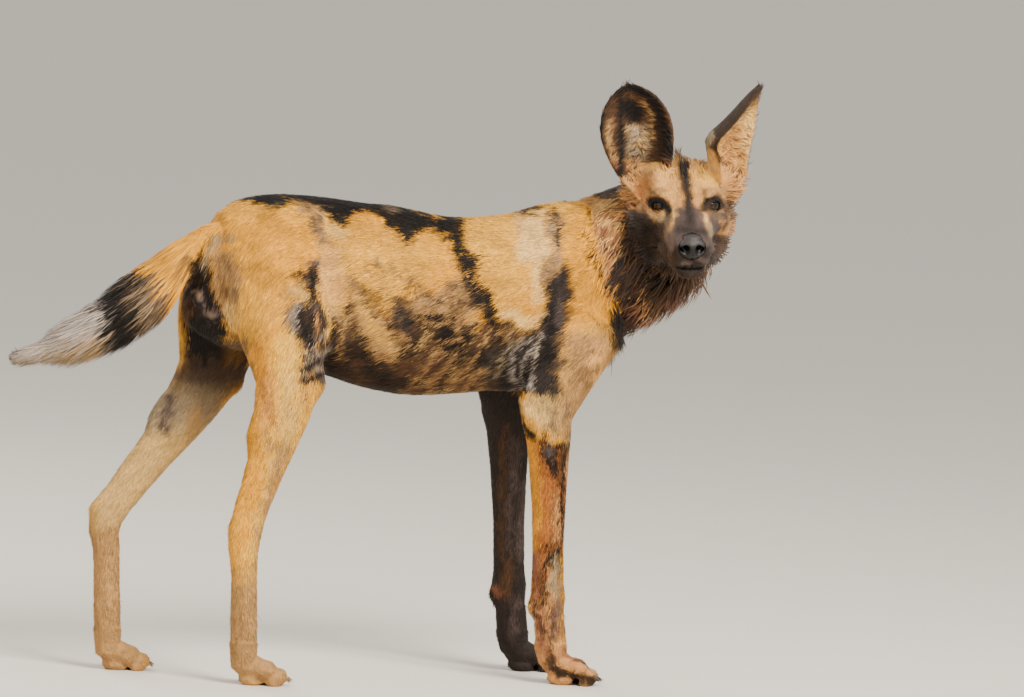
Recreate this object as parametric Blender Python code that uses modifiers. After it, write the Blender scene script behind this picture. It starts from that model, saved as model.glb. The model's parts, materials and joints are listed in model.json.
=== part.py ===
"""African wild dog, a still life-size model: it stands and looks back over its right shoulder.

+X is forward along the body, +Y is the animal's left and +Z is up, in metres, with the floor at z = 0.
Lofts and ellipsoids give the masses of the body. They are fused into one smooth form, which thin cuts
then part into the pieces that a person would name. Long hair is added as flat, tapered locks.
"""

import math
import random

import bmesh
import bpy
from mathutils import Euler, Matrix, Vector

# Cuts and fusing
GAP = 0.0003  # left between pieces that touch
OVERCUT = 1.2 * GAP  # as the gap, for a cutter that has to pass a seam by a little
CLEAR = 0.0008  # kept between locks and the pieces that they lie over
BODY_VOXEL = 0.0052
HEAD_VOXEL = 0.0023
PAW_VOXEL = 0.0024
RING_SIDES = 20  # corners of a loft's cross-section
STEPS = 4  # rings made between two given ones

# Rounds of smoothing, and the triangles that each fused form is brought down to before it is cut
BODY_ROUNDS, BODY_TRIANGLES = 13, 3400
HEAD_ROUNDS, HEAD_TRIANGLES = 13, 1700
PAW_ROUNDS, PAW_TRIANGLES = 4, 620
SHARP_ANGLE = math.radians(50.0)
SIDES = {"right": -1, "left": 1}  # the sign of y on each side

# The trunk, from rump to breast: x, height of the back, height of the belly, half width, height where widest
TRUNK = (
    (-0.352, 0.628, 0.520, 0.026, 0.585),
    (-0.335, 0.655, 0.482, 0.050, 0.580),
    (-0.295, 0.677, 0.462, 0.068, 0.580),
    (-0.235, 0.689, 0.456, 0.076, 0.585),
    (-0.165, 0.687, 0.446, 0.077, 0.575),
    (-0.095, 0.682, 0.420, 0.085, 0.555),
    (-0.020, 0.671, 0.405, 0.092, 0.545),
    (0.050, 0.664, 0.407, 0.094, 0.545),
    (0.120, 0.670, 0.413, 0.090, 0.545),
    (0.180, 0.684, 0.413, 0.081, 0.545),
    (0.230, 0.692, 0.422, 0.071, 0.550),
    (0.275, 0.686, 0.446, 0.060, 0.555),
    (0.308, 0.655, 0.478, 0.043, 0.560),
    (0.326, 0.615, 0.520, 0.020, 0.565),
)

# The neck, from the chest to the skull: centre, half width, reach up, reach down
NECK = (
    ((0.205, 0.000, 0.580), 0.060, 0.090, 0.100),
    ((0.265, -0.002, 0.612), 0.064, 0.084, 0.112),
    ((0.318, -0.016, 0.640), 0.064, 0.078, 0.104),
    ((0.352, -0.046, 0.664), 0.062, 0.074, 0.092),
    ((0.362, -0.084, 0.684), 0.058, 0.066, 0.078),
    ((0.352, -0.116, 0.694), 0.050, 0.056, 0.062),
)
# Point and direction of the cut behind the skull and of the one in front of the shoulders
NECK_CUT = ((0.3615, -0.081, 0.684), (-0.20, -0.90, 0.28))
NECK_BASE_CUT = ((0.268, 0.0, 0.606), (0.93, -0.05, 0.26))

# Long hair: a lock's stations, each as share of its length, of its width, of its lift and of its sunk root
LOCK_SHAPE = ((0.0, 0.6, 0.0, 1.0), (0.3, 1.0, 0.5, 0.2), (0.66, 0.82, 0.92, 0.0), (1.0, 0.1, 1.0, 0.0))
LOCK_THICK = 0.0034  # half of its thickness where it is widest
LOCK_BEND = 0.010  # most that its tip strays to either side
LOCK_SEED = 11
# The ruff: rows of locks from skull to chest, locks in a row, their length, half width and sunk root
RUFF = {"rows": 5, "around": 11, "length": 0.084, "width": 0.0165, "sunk": 0.016}
RUFF_SPAN = (16.2, 4.8)  # first and last row, counted along the neck's rings
RUFF_LIFT = (0.006, 0.020, 0.072)  # how far the tips stand out at the nape, the sides and the throat
RUFF_SHORTER = 0.25  # share of its length that a lock loses where it hangs from the throat
RUFF_FLATTER = 0.60  # share of its lift that a lock loses down at the chest
RUFF_FALL = 0.9  # pull of gravity on the lie, against the way back along the neck
# The plume of the tail, its width and sunk root as shares of the radius of plume and core
PLUME = {"rows": 5, "around": 6, "length": 0.125, "width": 0.38, "sunk": 0.7}
PLUME_SPAN = (7.0, 20.0)

# The head's own frame: origin midway between the eyes, +x to the nose, +y to its left, +z up
HEAD_PLACE = (0.326, -0.170, 0.701)
HEAD_TURN = math.radians(-112.5)  # from looking straight ahead
HEAD_NOD = math.radians(12.5)  # nose down
HEAD_TILT = math.radians(3.5)  # left side up

# Cranium and upper muzzle: x, centre height, half width, reach up, reach down
SKULL = (
    (-0.128, 0.000, 0.030, 0.024, 0.034),
    (-0.108, -0.004, 0.046, 0.040, 0.048),
    (-0.078, -0.008, 0.057, 0.054, 0.054),
    (-0.048, -0.012, 0.062, 0.056, 0.054),
    (-0.022, -0.016, 0.060, 0.050, 0.050),
    (0.002, -0.022, 0.051, 0.044, 0.044),
    (0.022, -0.028, 0.041, 0.038, 0.038),
    (0.044, -0.032, 0.035, 0.033, 0.034),
    (0.068, -0.036, 0.032, 0.029, 0.030),
    (0.088, -0.039, 0.029, 0.025, 0.027),
    (0.099, -0.041, 0.023, 0.020, 0.021),
    (0.104, -0.042, 0.012, 0.011, 0.012),
)
# Lower jaw, in the same terms
JAW = (
    (-0.078, -0.052, 0.042, 0.030, 0.036),
    (-0.045, -0.061, 0.046, 0.026, 0.034),
    (-0.005, -0.067, 0.037, 0.020, 0.026),
    (0.030, -0.071, 0.029, 0.014, 0.019),
    (0.060, -0.073, 0.025, 0.010, 0.015),
    (0.082, -0.073, 0.020, 0.008, 0.012),
    (0.092, -0.072, 0.011, 0.005, 0.008),
)
# Height of the mouth along the muzzle, front to back, and on down behind the jaw
MOUTH_LINE = (
    (0.135, -0.0705), (0.092, -0.0690), (0.070, -0.0665), (0.045, -0.0665),
    (0.012, -0.0630), (-0.018, -0.0670), (-0.060, -0.1400),
)
MOUTH_GAP = 0.0006

EYE_CENTRE = (0.0015, 0.0355, 0.0)
EYE_RADIUS = 0.0115
EYE_AIM = (0.78, 0.62, 0.04)
LID_RADIUS = 0.0140

NOSE_CENTRE = (0.0990, 0.0, -0.0355)
NOSE_RADII = (0.0120, 0.0200, 0.0160)
NOSE_TOP = ((0.0920, 0.0, -0.0235), (0.0130, 0.0150, 0.0070))

EAR_HEIGHT = 0.138
EAR_WIDTH = 0.102
EAR_THICK = 0.0040
EAR_ROOT = (-0.050, 0.0530, 0.030)  # the middle of its cup
EAR_BACK = 0.017  # from there to the back of the cup
EAR_SUNK = 0.034  # how far its root goes down into the head
EAR_CUT = 0.19  # share of the ear's height that stays with the head
# Degrees by which each ear leans out, leans back, opens to the side at its root, turns on from there,
# and bows over towards its opening
EAR_SET = {"right": (12.0, 13.0, 4.0, 0.0, 30.0), "left": (10.0, 5.0, 50.0, 30.0, 44.0)}

# Legs: the joints that each pair of limbs shares, and the girth along them.
# A girth row is: bone number, share of the way down it, half width, reach forward, reach back
FORE_GIRTH = (
    (0, 0.10, 0.030, 0.060, 0.058),
    (0, 0.55, 0.034, 0.050, 0.056),
    (1, 0.02, 0.030, 0.041, 0.044),
    (1, 0.16, 0.0275, 0.035, 0.036),
    (1, 0.38, 0.0235, 0.030, 0.029),
    (1, 0.65, 0.0200, 0.026, 0.025),
    (1, 0.88, 0.0195, 0.0255, 0.025),
    (2, 0.00, 0.0215, 0.0270, 0.0265),
    (2, 0.30, 0.0200, 0.0240, 0.0240),
    (2, 0.80, 0.0215, 0.0240, 0.0240),
    (2, 1.10, 0.0190, 0.0200, 0.0200),
)
HIND_GIRTH = (
    (0, 0.00, 0.040, 0.072, 0.070),
    (0, 0.45, 0.043, 0.068, 0.076),
    (0, 0.92, 0.035, 0.046, 0.060),
    (1, 0.22, 0.0290, 0.0380, 0.0460),
    (1, 0.50, 0.0225, 0.0290, 0.0330),
    (1, 0.80, 0.0165, 0.0225, 0.0225),
    (2, 0.00, 0.0190, 0.0235, 0.0275),
    (2, 0.25, 0.0175, 0.0200, 0.0220),
    (2, 0.78, 0.0190, 0.0205, 0.0210),
    (2, 1.10, 0.0175, 0.0180, 0.0180),
)
# Joints of each limb from the top: shoulder or hip, elbow or knee, wrist or hock, root of the toes
FORE_JOINTS = {
    "right": ((0.255, -0.062, 0.54), (0.174, -0.078, 0.405), (0.192, -0.076, 0.125), (0.205, -0.076, 0.04)),
    "left": ((0.262, 0.062, 0.54), (0.19, 0.078, 0.405), (0.209, 0.076, 0.125), (0.222, 0.076, 0.04)),
}
HIND_JOINTS = {
    "right": ((-0.262, -0.05, 0.6), (-0.236, -0.08, 0.425), (-0.298, -0.082, 0.205), (-0.29, -0.082, 0.04)),
    "left": ((-0.272, 0.05, 0.6), (-0.284, 0.078, 0.42), (-0.436, 0.084, 0.212), (-0.424, 0.084, 0.04)),
}
# Heights of the cuts below the elbow and between leg and paw, then x and height of the one through the thigh
ELBOW_CUT, PAW_CUT = 0.4265, 0.062
THIGH_CUT = (-0.270, 0.4720)
FORE_PAW = {"length": 0.098, "width": 0.062, "height": 0.046}
HIND_PAW = {"length": 0.090, "width": 0.056, "height": 0.042}
TOE_TURN = math.radians(-4.0)  # the feet point a little outwards

# The tail: centre line, then the radius of its core and of the plume of hair
TAIL_LINE = (
    (-0.325, 0.000, 0.625),
    (-0.365, 0.000, 0.602),
    (-0.410, 0.002, 0.560),
    (-0.458, 0.004, 0.521),
    (-0.515, 0.006, 0.487),
    (-0.570, 0.008, 0.464),
    (-0.622, 0.010, 0.448),
)
TAIL_CORE = (0.025, 0.026, 0.024, 0.020, 0.018, 0.013, 0.005)
TAIL_PLUME = (0.024, 0.025, 0.037, 0.048, 0.046, 0.034, 0.003)
TAIL_CUT = ((-0.396, 0.002, 0.573), (-0.74, 0.0, -0.67))

# Where the middle of each piece of the fused body lies
BODY_PLACES = {
    "torso": (-0.05, 0.0, 0.53),
    "neck": (0.31, -0.02, 0.65),
    "tail": TAIL_LINE[4],
    "fore_leg_right": (0.19, -0.08, 0.25),
    "fore_leg_left": (0.20, 0.08, 0.25),
    "hind_leg_right": (-0.27, -0.08, 0.28),
    "hind_leg_left": (-0.36, 0.08, 0.28),
}

# Linear colour and roughness of each piece
COLOURS = {
    "torso": ((0.48, 0.29, 0.09), 0.85),
    "neck": ((0.22, 0.13, 0.08), 0.85),
    "tail": ((0.66, 0.62, 0.55), 0.85),
    "head": ((0.42, 0.26, 0.15), 0.80),
    "jaw": ((0.06, 0.045, 0.04), 0.75),
    "nose": ((0.02, 0.02, 0.022), 0.35),
    "ear_right": ((0.10, 0.07, 0.05), 0.85),
    "ear_left": ((0.16, 0.12, 0.09), 0.85),
    "eye_right": ((0.05, 0.025, 0.012), 0.08),
    "eye_left": ((0.05, 0.025, 0.012), 0.08),
    "fore_leg_right": ((0.34, 0.15, 0.07), 0.85),
    "fore_leg_left": ((0.08, 0.05, 0.04), 0.85),
    "hind_leg_right": ((0.52, 0.40, 0.22), 0.85),
    "hind_leg_left": ((0.36, 0.31, 0.25), 0.85),
    "fore_paw_right": ((0.24, 0.13, 0.10), 0.80),
    "fore_paw_left": ((0.09, 0.06, 0.05), 0.80),
    "hind_paw_right": ((0.46, 0.38, 0.26), 0.80),
    "hind_paw_left": ((0.34, 0.29, 0.24), 0.80),
}


# ---- making shapes ----


def clear_scene():
    for obj in list(bpy.data.objects):
        bpy.data.objects.remove(obj)
    for mesh in list(bpy.data.meshes):
        bpy.data.meshes.remove(mesh)


def new_object(name, mesh):
    obj = bpy.data.objects.new(name, mesh)
    bpy.context.scene.collection.objects.link(obj)
    return obj


def eased(rows, steps=STEPS):
    """The rows of numbers with more between them, on a smooth curve through them all."""
    rows = [tuple(row) for row in rows]
    ends = [rows[0]] + rows + [rows[-1]]
    out = []
    for before, start, end, after in zip(ends, ends[1:], ends[2:], ends[3:]):
        for step in range(steps):
            t = step / steps
            out.append(
                tuple(
                    0.5 * (2 * b + (c - a) * t + (2 * a - 5 * b + 4 * c - d) * t * t
                           + (3 * b - a - 3 * c + d) * t * t * t)
                    for a, b, c, d in zip(before, start, end, after)
                )
            )
    out.append(rows[-1])
    return out


def loft(name, rows, ahead, sides=RING_SIDES):
    """A closed tube through rows of (x, y, z, half width, reach towards ahead, reach away from it)."""
    mesh = bmesh.new()
    centres = [Vector(row[:3]) for row in rows]
    rings = []
    for index, (centre, row) in enumerate(zip(centres, rows)):
        tangent = (centres[min(index + 1, len(rows) - 1)] - centres[max(index - 1, 0)]).normalized()
        side = Vector(ahead).cross(tangent).normalized()
        up = tangent.cross(side)
        ring = []
        for corner in range(sides):
            angle = 2 * math.pi * corner / sides
            reach = row[4] if math.sin(angle) > 0 else row[5]
            offset = side * row[3] * math.cos(angle) + up * reach * math.sin(angle)
            ring.append(mesh.verts.new(centre + offset))
        rings.append(ring)
    for first, second in zip(rings, rings[1:]):
        for corner in range(sides):
            after = (corner + 1) % sides
            mesh.faces.new((first[corner], first[after], second[after], second[corner]))
    mesh.faces.new(list(reversed(rings[0])))
    mesh.faces.new(rings[-1])
    bmesh.ops.recalc_face_normals(mesh, faces=mesh.faces)
    data = bpy.data.meshes.new(name)
    mesh.to_mesh(data)
    mesh.free()
    return new_object(name, data)


def ball(name, centre, radii, turn=(0.0, 0.0, 0.0), segments=24, rings=16):
    """An ellipsoid with its own radii, turned by angles in degrees."""
    bpy.ops.mesh.primitive_uv_sphere_add(segments=segments, ring_count=rings, radius=1.0)
    obj = bpy.context.object
    obj.name = name
    turned = Euler([math.radians(angle) for angle in turn]).to_matrix().to_4x4()
    obj.data.transform(Matrix.Translation(centre) @ turned @ Matrix.Diagonal((*radii, 1.0)))
    return obj


def slab(name, centre, normal, across, size, thick=GAP):
    """A thin flat cutter through centre, size = (along across, along the other edge)."""
    normal = Vector(normal).normalized()
    across = (Vector(across) - normal * normal.dot(Vector(across))).normalized()
    bpy.ops.mesh.primitive_cube_add(size=1.0)
    obj = bpy.context.object
    obj.name = name
    frame = Matrix((across, normal.cross(across), normal)).transposed().to_4x4()
    obj.data.transform(Matrix.Translation(centre) @ frame @ Matrix.Diagonal((*size, thick, 1.0)))
    return obj


def outward(obj):
    """The object with all its faces turned outwards."""
    mesh = bmesh.new()
    mesh.from_mesh(obj.data)
    bmesh.ops.recalc_face_normals(mesh, faces=mesh.faces)
    mesh.to_mesh(obj.data)
    mesh.free()
    return obj


def settle(obj):
    """Applies what modifiers the object has, and returns it."""
    graph = bpy.context.evaluated_depsgraph_get()
    mesh = bpy.data.meshes.new_from_object(obj.evaluated_get(graph))
    old = obj.data
    obj.modifiers.clear()
    obj.data = mesh
    bpy.data.meshes.remove(old)
    return obj


def joined(name, objects):
    """One object that holds the meshes of several, which are removed."""
    mesh = bmesh.new()
    for obj in objects:
        obj.data.transform(obj.matrix_world)
        mesh.from_mesh(obj.data)
        bpy.data.objects.remove(obj)
    data = bpy.data.meshes.new(name)
    mesh.to_mesh(data)
    mesh.free()
    return new_object(name, data)


def fused(name, forms, voxel, rounds):
    """The forms melted into one smooth closed surface."""
    obj = joined(name, forms)
    remesh = obj.modifiers.new("Melt", "REMESH")
    remesh.mode = "VOXEL"
    remesh.voxel_size = voxel
    smooth = obj.modifiers.new("Ease", "SMOOTH")
    smooth.factor = 0.5
    smooth.iterations = rounds
    return settle(obj)


def thinned(obj, triangles):
    """The same surface with about that many triangles."""
    obj.data.calc_loop_triangles()
    decimate = obj.modifiers.new("Thin", "DECIMATE")
    decimate.ratio = triangles / len(obj.data.loop_triangles)
    decimate.use_collapse_triangulate = True
    return settle(obj)


def combined(obj, operation, others):
    """The object with a Boolean against a list of closed meshes, which are removed."""
    group = bpy.data.collections.new("operands")
    for other in others:
        for holder in list(other.users_collection):
            holder.objects.unlink(other)
        group.objects.link(other)
    bpy.context.scene.collection.children.link(group)
    boolean = obj.modifiers.new("Join", "BOOLEAN")
    boolean.operation = operation
    boolean.solver = "MANIFOLD"
    boolean.operand_type = "COLLECTION"
    boolean.collection = group
    settle(obj)
    for other in others:
        bpy.data.objects.remove(other)
    bpy.data.collections.remove(group)
    return obj


def loose_pieces(obj):
    """The separate bodies in the object's mesh, each as a mesh of its own, largest first."""
    whole = bmesh.new()
    whole.from_mesh(obj.data)
    whole.verts.ensure_lookup_table()
    seen = set()
    pieces = []
    for start in whole.verts:
        if start in seen:
            continue
        seen.add(start)
        stack, found = [start], []
        while stack:
            vert = stack.pop()
            found.append(vert)
            for edge in vert.link_edges:
                other = edge.other_vert(vert)
                if other not in seen:
                    seen.add(other)
                    stack.append(other)
        pieces.append(found)
    meshes = []
    for found in sorted(pieces, key=len, reverse=True):
        piece = bmesh.new()
        copies = {vert: piece.verts.new(vert.co) for vert in found}
        for face in {face for vert in found for face in vert.link_faces}:
            piece.faces.new([copies[vert] for vert in face.verts])
        data = bpy.data.meshes.new("piece")
        piece.to_mesh(data)
        piece.free()
        meshes.append(data)
    whole.free()
    return meshes


def middle(mesh):
    points = [vert.co for vert in mesh.vertices]
    return sum(points, Vector()) / len(points)


def parted(obj, cutters, places):
    """The object cut by thin slabs, its pieces named by which of the places each lies nearest to."""
    combined(obj, "DIFFERENCE", cutters)
    meshes = loose_pieces(obj)
    bpy.data.objects.remove(obj)
    made = {}
    for name, place in places.items():
        nearest = min(meshes, key=lambda mesh: (middle(mesh) - Vector(place)).length)
        meshes.remove(nearest)
        made[name] = new_object(name, nearest)
    return made


def kept(obj):
    """The object with only its largest closed surface."""
    mesh = loose_pieces(obj)[0]
    old = obj.data
    obj.data = mesh
    bpy.data.meshes.remove(old)
    return obj


def trimmed(obj, point, normal, gap=GAP, reach=1.0):
    """The object without what lies past point on normal's side, which it stays short of by half a gap."""
    normal = Vector(normal).normalized()
    centre = Vector(point) + normal * (reach - gap) / 2
    across = Vector((0.0, 0.0, 1.0)) if abs(normal.z) < 0.9 else Vector((1.0, 0.0, 0.0))
    return combined(obj, "DIFFERENCE", [slab("past", centre, normal, across, (reach, reach), reach)])


def grown(obj, by):
    """A copy of the object with each of its points moved outwards by that much."""
    copy = new_object("space", obj.data.copy())
    mesh = bmesh.new()
    mesh.from_mesh(copy.data)
    mesh.normal_update()
    for vert, normal in [(vert, vert.normal.copy()) for vert in mesh.verts]:
        vert.co += normal * by
    mesh.to_mesh(copy.data)
    mesh.free()
    return copy


# ---- the body ----


def trunk_forms():
    rows = [(x, 0.0, widest, half, top - widest, widest - belly) for x, top, belly, half, widest in TRUNK]
    forms = [loft("trunk", eased(rows), (0.0, 0.0, 1.0))]
    for side in (-1, 1):
        forms += [
            ball("shoulder_blade", (0.220, side * 0.052, 0.600), (0.046, 0.024, 0.096), (side * 14, 12, 0)),
            ball("shoulder_point", (0.270, side * 0.046, 0.520), (0.038, 0.032, 0.054)),
            ball("upper_arm", (0.206, side * 0.072, 0.478), (0.062, 0.027, 0.070), (0, 38, 0)),
            ball("hip", (-0.236, side * 0.046, 0.632), (0.060, 0.030, 0.050)),
            ball("haunch", (-0.258, side * 0.058, 0.565), (0.078, 0.036, 0.092), (side * 6, 0, 0)),
            ball("seat", (-0.314, side * 0.036, 0.566), (0.030, 0.028, 0.066)),
            ball("flank_fold", (-0.184, side * 0.062, 0.508), (0.044, 0.014, 0.052), (0, 28, 0)),
        ]
    forms.append(ball("breast", (0.284, 0.0, 0.515), (0.036, 0.044, 0.060)))
    return forms


def scrotum_forms():
    """A male's, carried high between the thighs."""
    return [
        ball("scrotum", (-0.326, side * 0.0125, 0.505 + 0.004 * side), (0.016, 0.0145, 0.022))
        for side in (-1, 1)
    ] + [ball("scrotum_root", (-0.318, 0.0, 0.524), (0.016, 0.017, 0.022))]


def neck_rows():
    return eased([(*centre, half, up, down) for centre, half, up, down in NECK])


def limb_rows(joints, girths):
    """Rows of a loft down a limb, from its joints and the girth at shares of each bone."""
    rows = []
    for bone, share, half, ahead, behind in girths:
        centre = Vector(joints[bone]).lerp(Vector(joints[bone + 1]), share)
        rows.append((*centre, half, ahead, behind))
    return eased(rows)


def fore_leg_forms(side):
    shoulder, elbow, wrist, _ = (Vector(joint) for joint in FORE_JOINTS[side])
    return [
        loft("fore_leg", limb_rows(FORE_JOINTS[side], FORE_GIRTH), (1.0, 0.0, 0.0)),
        ball("elbow_point", elbow + Vector((-0.034, 0.0, 0.006)), (0.017, 0.013, 0.026), (0, -14, 0)),
        ball("wrist", wrist + Vector((0.004, 0.0, 0.002)), (0.0245, 0.0225, 0.021)),
        ball("wrist_pad", wrist + Vector((-0.025, 0.0, -0.012)), (0.010, 0.009, 0.013)),
    ]


def hind_leg_forms(side):
    _, knee, hock, _ = (Vector(joint) for joint in HIND_JOINTS[side])
    shin = (hock - knee).normalized()
    behind = Vector((0.0, 1.0, 0.0)).cross(shin) * (1 if shin.z > 0 else -1)
    if behind.x > 0:
        behind = -behind
    calf = knee.lerp(hock, 0.30) + behind * 0.020
    heel = hock + Vector((-0.016, 0.0, 0.016))
    tendon = [(*knee.lerp(hock, 0.45) + behind * 0.022, 0.012, 0.014, 0.014), (*heel, 0.0105, 0.012, 0.012)]
    return [
        loft("hind_leg", limb_rows(HIND_JOINTS[side], HIND_GIRTH), (1.0, 0.0, 0.0)),
        ball("knee", knee + Vector((0.022, 0.0, 0.006)), (0.026, 0.028, 0.036)),
        ball("calf", calf, (0.028, 0.022, 0.056), (0, math.degrees(math.atan2(shin.x, shin.z)), 0)),
        loft("heel_tendon", tendon, (1.0, 0.0, 0.0), 12),
        ball("heel", heel, (0.0135, 0.0125, 0.0165)),
    ]


def tail_rows(radii, start=0):
    rows = [(*centre, radius, radius, radius) for centre, radius in zip(TAIL_LINE, radii)]
    return eased(rows[start:])


def leg_cutters():
    """Thin slanted cuts under the chest and the groin, then level ones above the paws."""
    cutters = []
    for side, sign in SIDES.items():
        place = (FORE_JOINTS[side][1][0] + 0.020, sign * 0.082, ELBOW_CUT)
        cutters.append(slab("elbow_cut", place, (0.10, -0.52 * sign, 1.0), (1, 0, 0), (0.24, 0.110)))
        place = (THIGH_CUT[0], sign * 0.072, THIGH_CUT[1])
        cutters.append(slab("thigh_cut", place, (0.06, -0.72 * sign, 1.0), (1, 0, 0), (0.32, 0.150)))
        for joints in (FORE_JOINTS[side], HIND_JOINTS[side]):
            cutters.append(slab("paw_cut", (*joints[3][:2], PAW_CUT), (0, 0, 1), (1, 0, 0), (0.10, 0.09)))
    return cutters


def body_pieces():
    """The pieces of the body, and the space that the locks of the neck keep free."""
    forms = trunk_forms() + scrotum_forms()
    forms.append(loft("neck", neck_rows(), (0.0, 0.0, 1.0)))
    forms.append(loft("tail", tail_rows(TAIL_CORE), (0.0, 0.0, 1.0)))
    for side in SIDES:
        forms += fore_leg_forms(side) + hind_leg_forms(side)
    body = thinned(fused("body", forms, BODY_VOXEL, BODY_ROUNDS), BODY_TRIANGLES)
    space = trimmed(grown(body, CLEAR), *NECK_BASE_CUT, gap=-OVERCUT)
    cutters = leg_cutters()
    cutters.append(slab("neck_base_cut", *NECK_BASE_CUT, (0, 1, 0), (0.40, 0.40)))
    cutters.append(slab("neck_end_cut", *NECK_CUT, (0, 0, 1), (0.24, 0.24)))
    cutters.append(slab("tail_cut", *TAIL_CUT, (0, 1, 0), (0.12, 0.10)))
    return parted(body, cutters, BODY_PLACES), space


def surface_point(rows, place, angle):
    """A point on a loft, place rings along and at an angle round it, and the ways out of it and along it."""
    index = min(int(place), len(rows) - 2)
    share = place - index
    start, end = Vector(rows[index][:3]), Vector(rows[index + 1][:3])
    half, above, below = (a + (b - a) * share for a, b in zip(rows[index][3:], rows[index + 1][3:]))
    ahead = (end - start).normalized()
    side = Vector((0.0, 0.0, 1.0)).cross(ahead).normalized()
    up = ahead.cross(side)
    reach = above if math.sin(angle) > 0 else below
    place = start.lerp(end, share) + side * half * math.cos(angle) + up * reach * math.sin(angle)
    outward = (side * math.cos(angle) / half + up * math.sin(angle) / reach).normalized()
    return place, outward, ahead


def lock(place, outward, along, length, lift, width, sunk, bend):
    """A flat tapered lock of hair, rooted under the surface, that rises by lift and bends along its lie."""
    sideways = outward.cross(along)
    rows = []
    for share, wide, raised, rooted in LOCK_SHAPE:
        rise = lift * raised - sunk * rooted
        centre = place + along * length * share + outward * rise + sideways * bend * share * share
        rows.append((*centre, width * wide, LOCK_THICK * wide, LOCK_THICK * wide))
    return loft("lock", rows, outward, 4)


def ruff_lift(low):
    """How far the tip of a ruff lock stands out, where low runs from -1 at the nape to 1 at the throat."""
    nape, side, throat = RUFF_LIFT
    return side + (throat - side) * low if low > 0 else side + (side - nape) * low


def ruff_locks(draw):
    """Rows of locks round the neck, short at the nape and long and hanging at the throat."""
    rows = neck_rows()
    first, last = RUFF_SPAN
    locks = []
    for row in range(RUFF["rows"]):
        down = row / (RUFF["rows"] - 1)
        ring = first + (last - first) * down
        for number in range(RUFF["around"]):
            angle = 2 * math.pi * (number + 0.5 * (row % 2) + draw.uniform(-0.15, 0.15)) / RUFF["around"]
            place, outward, ahead = surface_point(rows, ring + draw.uniform(-0.4, 0.4), angle)
            lie = -ahead + Vector((0.0, 0.0, -RUFF_FALL))
            lie = (lie - outward * outward.dot(lie)).normalized()
            length = RUFF["length"] * draw.uniform(0.85, 1.15) * (1 - RUFF_SHORTER * max(-outward.z, 0.0))
            lift = ruff_lift(-outward.z) * (1 - RUFF_FLATTER * down) * draw.uniform(0.85, 1.1)
            bend = LOCK_BEND * draw.uniform(-1, 1)
            locks.append(lock(place, outward, lie, length, lift, RUFF["width"], RUFF["sunk"], bend))
    return locks


def ruffed(neck, spaces):
    """The neck with its ruff of locks, clear of the head, the jaw and the chest."""
    combined(neck, "UNION", ruff_locks(random.Random(LOCK_SEED)))
    for space in spaces:
        combined(neck, "DIFFERENCE", [space])
    return kept(neck)


def plume_locks(draw):
    """Rows of locks along the tail, whose tips reach the outline of its plume."""
    core, outline = tail_rows(TAIL_CORE), tail_rows(TAIL_PLUME)
    end = Vector(TAIL_LINE[-1])
    first, last = PLUME_SPAN
    locks = []
    for row in range(PLUME["rows"]):
        ring = first + (last - first) * row / (PLUME["rows"] - 1)
        for number in range(PLUME["around"]):
            angle = 2 * math.pi * (number + 0.5 * (row % 2) + draw.uniform(-0.12, 0.12)) / PLUME["around"]
            place, outward, ahead = surface_point(core, ring, angle)
            length = min(PLUME["length"], (end - place).length) * draw.uniform(0.88, 1.0)
            tip = place + ahead * length
            nearest = min(outline, key=lambda around: (Vector(around[:3]) - tip).length)
            radius = (place - Vector(core[round(ring)][:3])).length
            width = PLUME["width"] * outline[round(ring)][3]
            bend = LOCK_BEND * draw.uniform(-0.6, 0.6)
            locks.append(
                lock(place, outward, ahead, length, nearest[3] - radius, width, PLUME["sunk"] * radius, bend)
            )
    return locks


def plumed(tail):
    """The tail with its plume of locks."""
    point, normal = (Vector(value) for value in TAIL_CUT)
    combined(tail, "UNION", plume_locks(random.Random(LOCK_SEED)))
    return kept(trimmed(tail, point, -normal))


# ---- the head ----


def head_frame():
    turn = Matrix.Rotation(HEAD_TURN, 4, "Z")
    nod = Matrix.Rotation(HEAD_NOD, 4, "Y")
    tilt = Matrix.Rotation(HEAD_TILT, 4, "X")
    return Matrix.Translation(HEAD_PLACE) @ turn @ nod @ tilt


def head_forms():
    skull = [(x, 0.0, z, half, up, down) for x, z, half, up, down in SKULL]
    jaw = [(x, 0.0, z, half, up, down) for x, z, half, up, down in JAW]
    forms = [
        loft("skull", eased(skull), (0.0, 0.0, 1.0)),
        loft("jaw", eased(jaw), (0.0, 0.0, 1.0)),
        ball("chin", (0.080, 0.0, -0.077), (0.014, 0.018, 0.010)),
    ]
    for side in (-1, 1):
        forms += [
            ball("cheek", (-0.046, side * 0.045, -0.034), (0.046, 0.024, 0.038)),
            ball("jowl", (-0.046, side * 0.038, -0.062), (0.040, 0.022, 0.034), (0, 12, 0)),
            ball("cheekbone", (-0.014, side * 0.0475, -0.020), (0.036, 0.015, 0.016), (0, 0, side * -22)),
            ball("brow", (-0.003, side * 0.027, 0.0140), (0.021, 0.020, 0.0090), (0, 14, side * -30)),
            ball("orbit", (-0.002, side * 0.0345, -0.001), (0.0150, 0.0150, 0.0140)),
            ball("temple", (-0.050, side * 0.036, 0.020), (0.042, 0.024, 0.028)),
            ball("lip", (0.068, side * 0.0180, -0.0570), (0.034, 0.0120, 0.0115), (0, -2, side * -8)),
            ball("lip_back", (0.034, side * 0.0265, -0.0580), (0.032, 0.0110, 0.0100), (0, 2, side * -18)),
            ball("whisker_pad", (0.078, side * 0.0150, -0.0460), (0.023, 0.0145, 0.0170)),
            ball("ear_base", (-0.068, side * 0.056, 0.012), (0.025, 0.024, 0.030)),
        ]
    return forms


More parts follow.
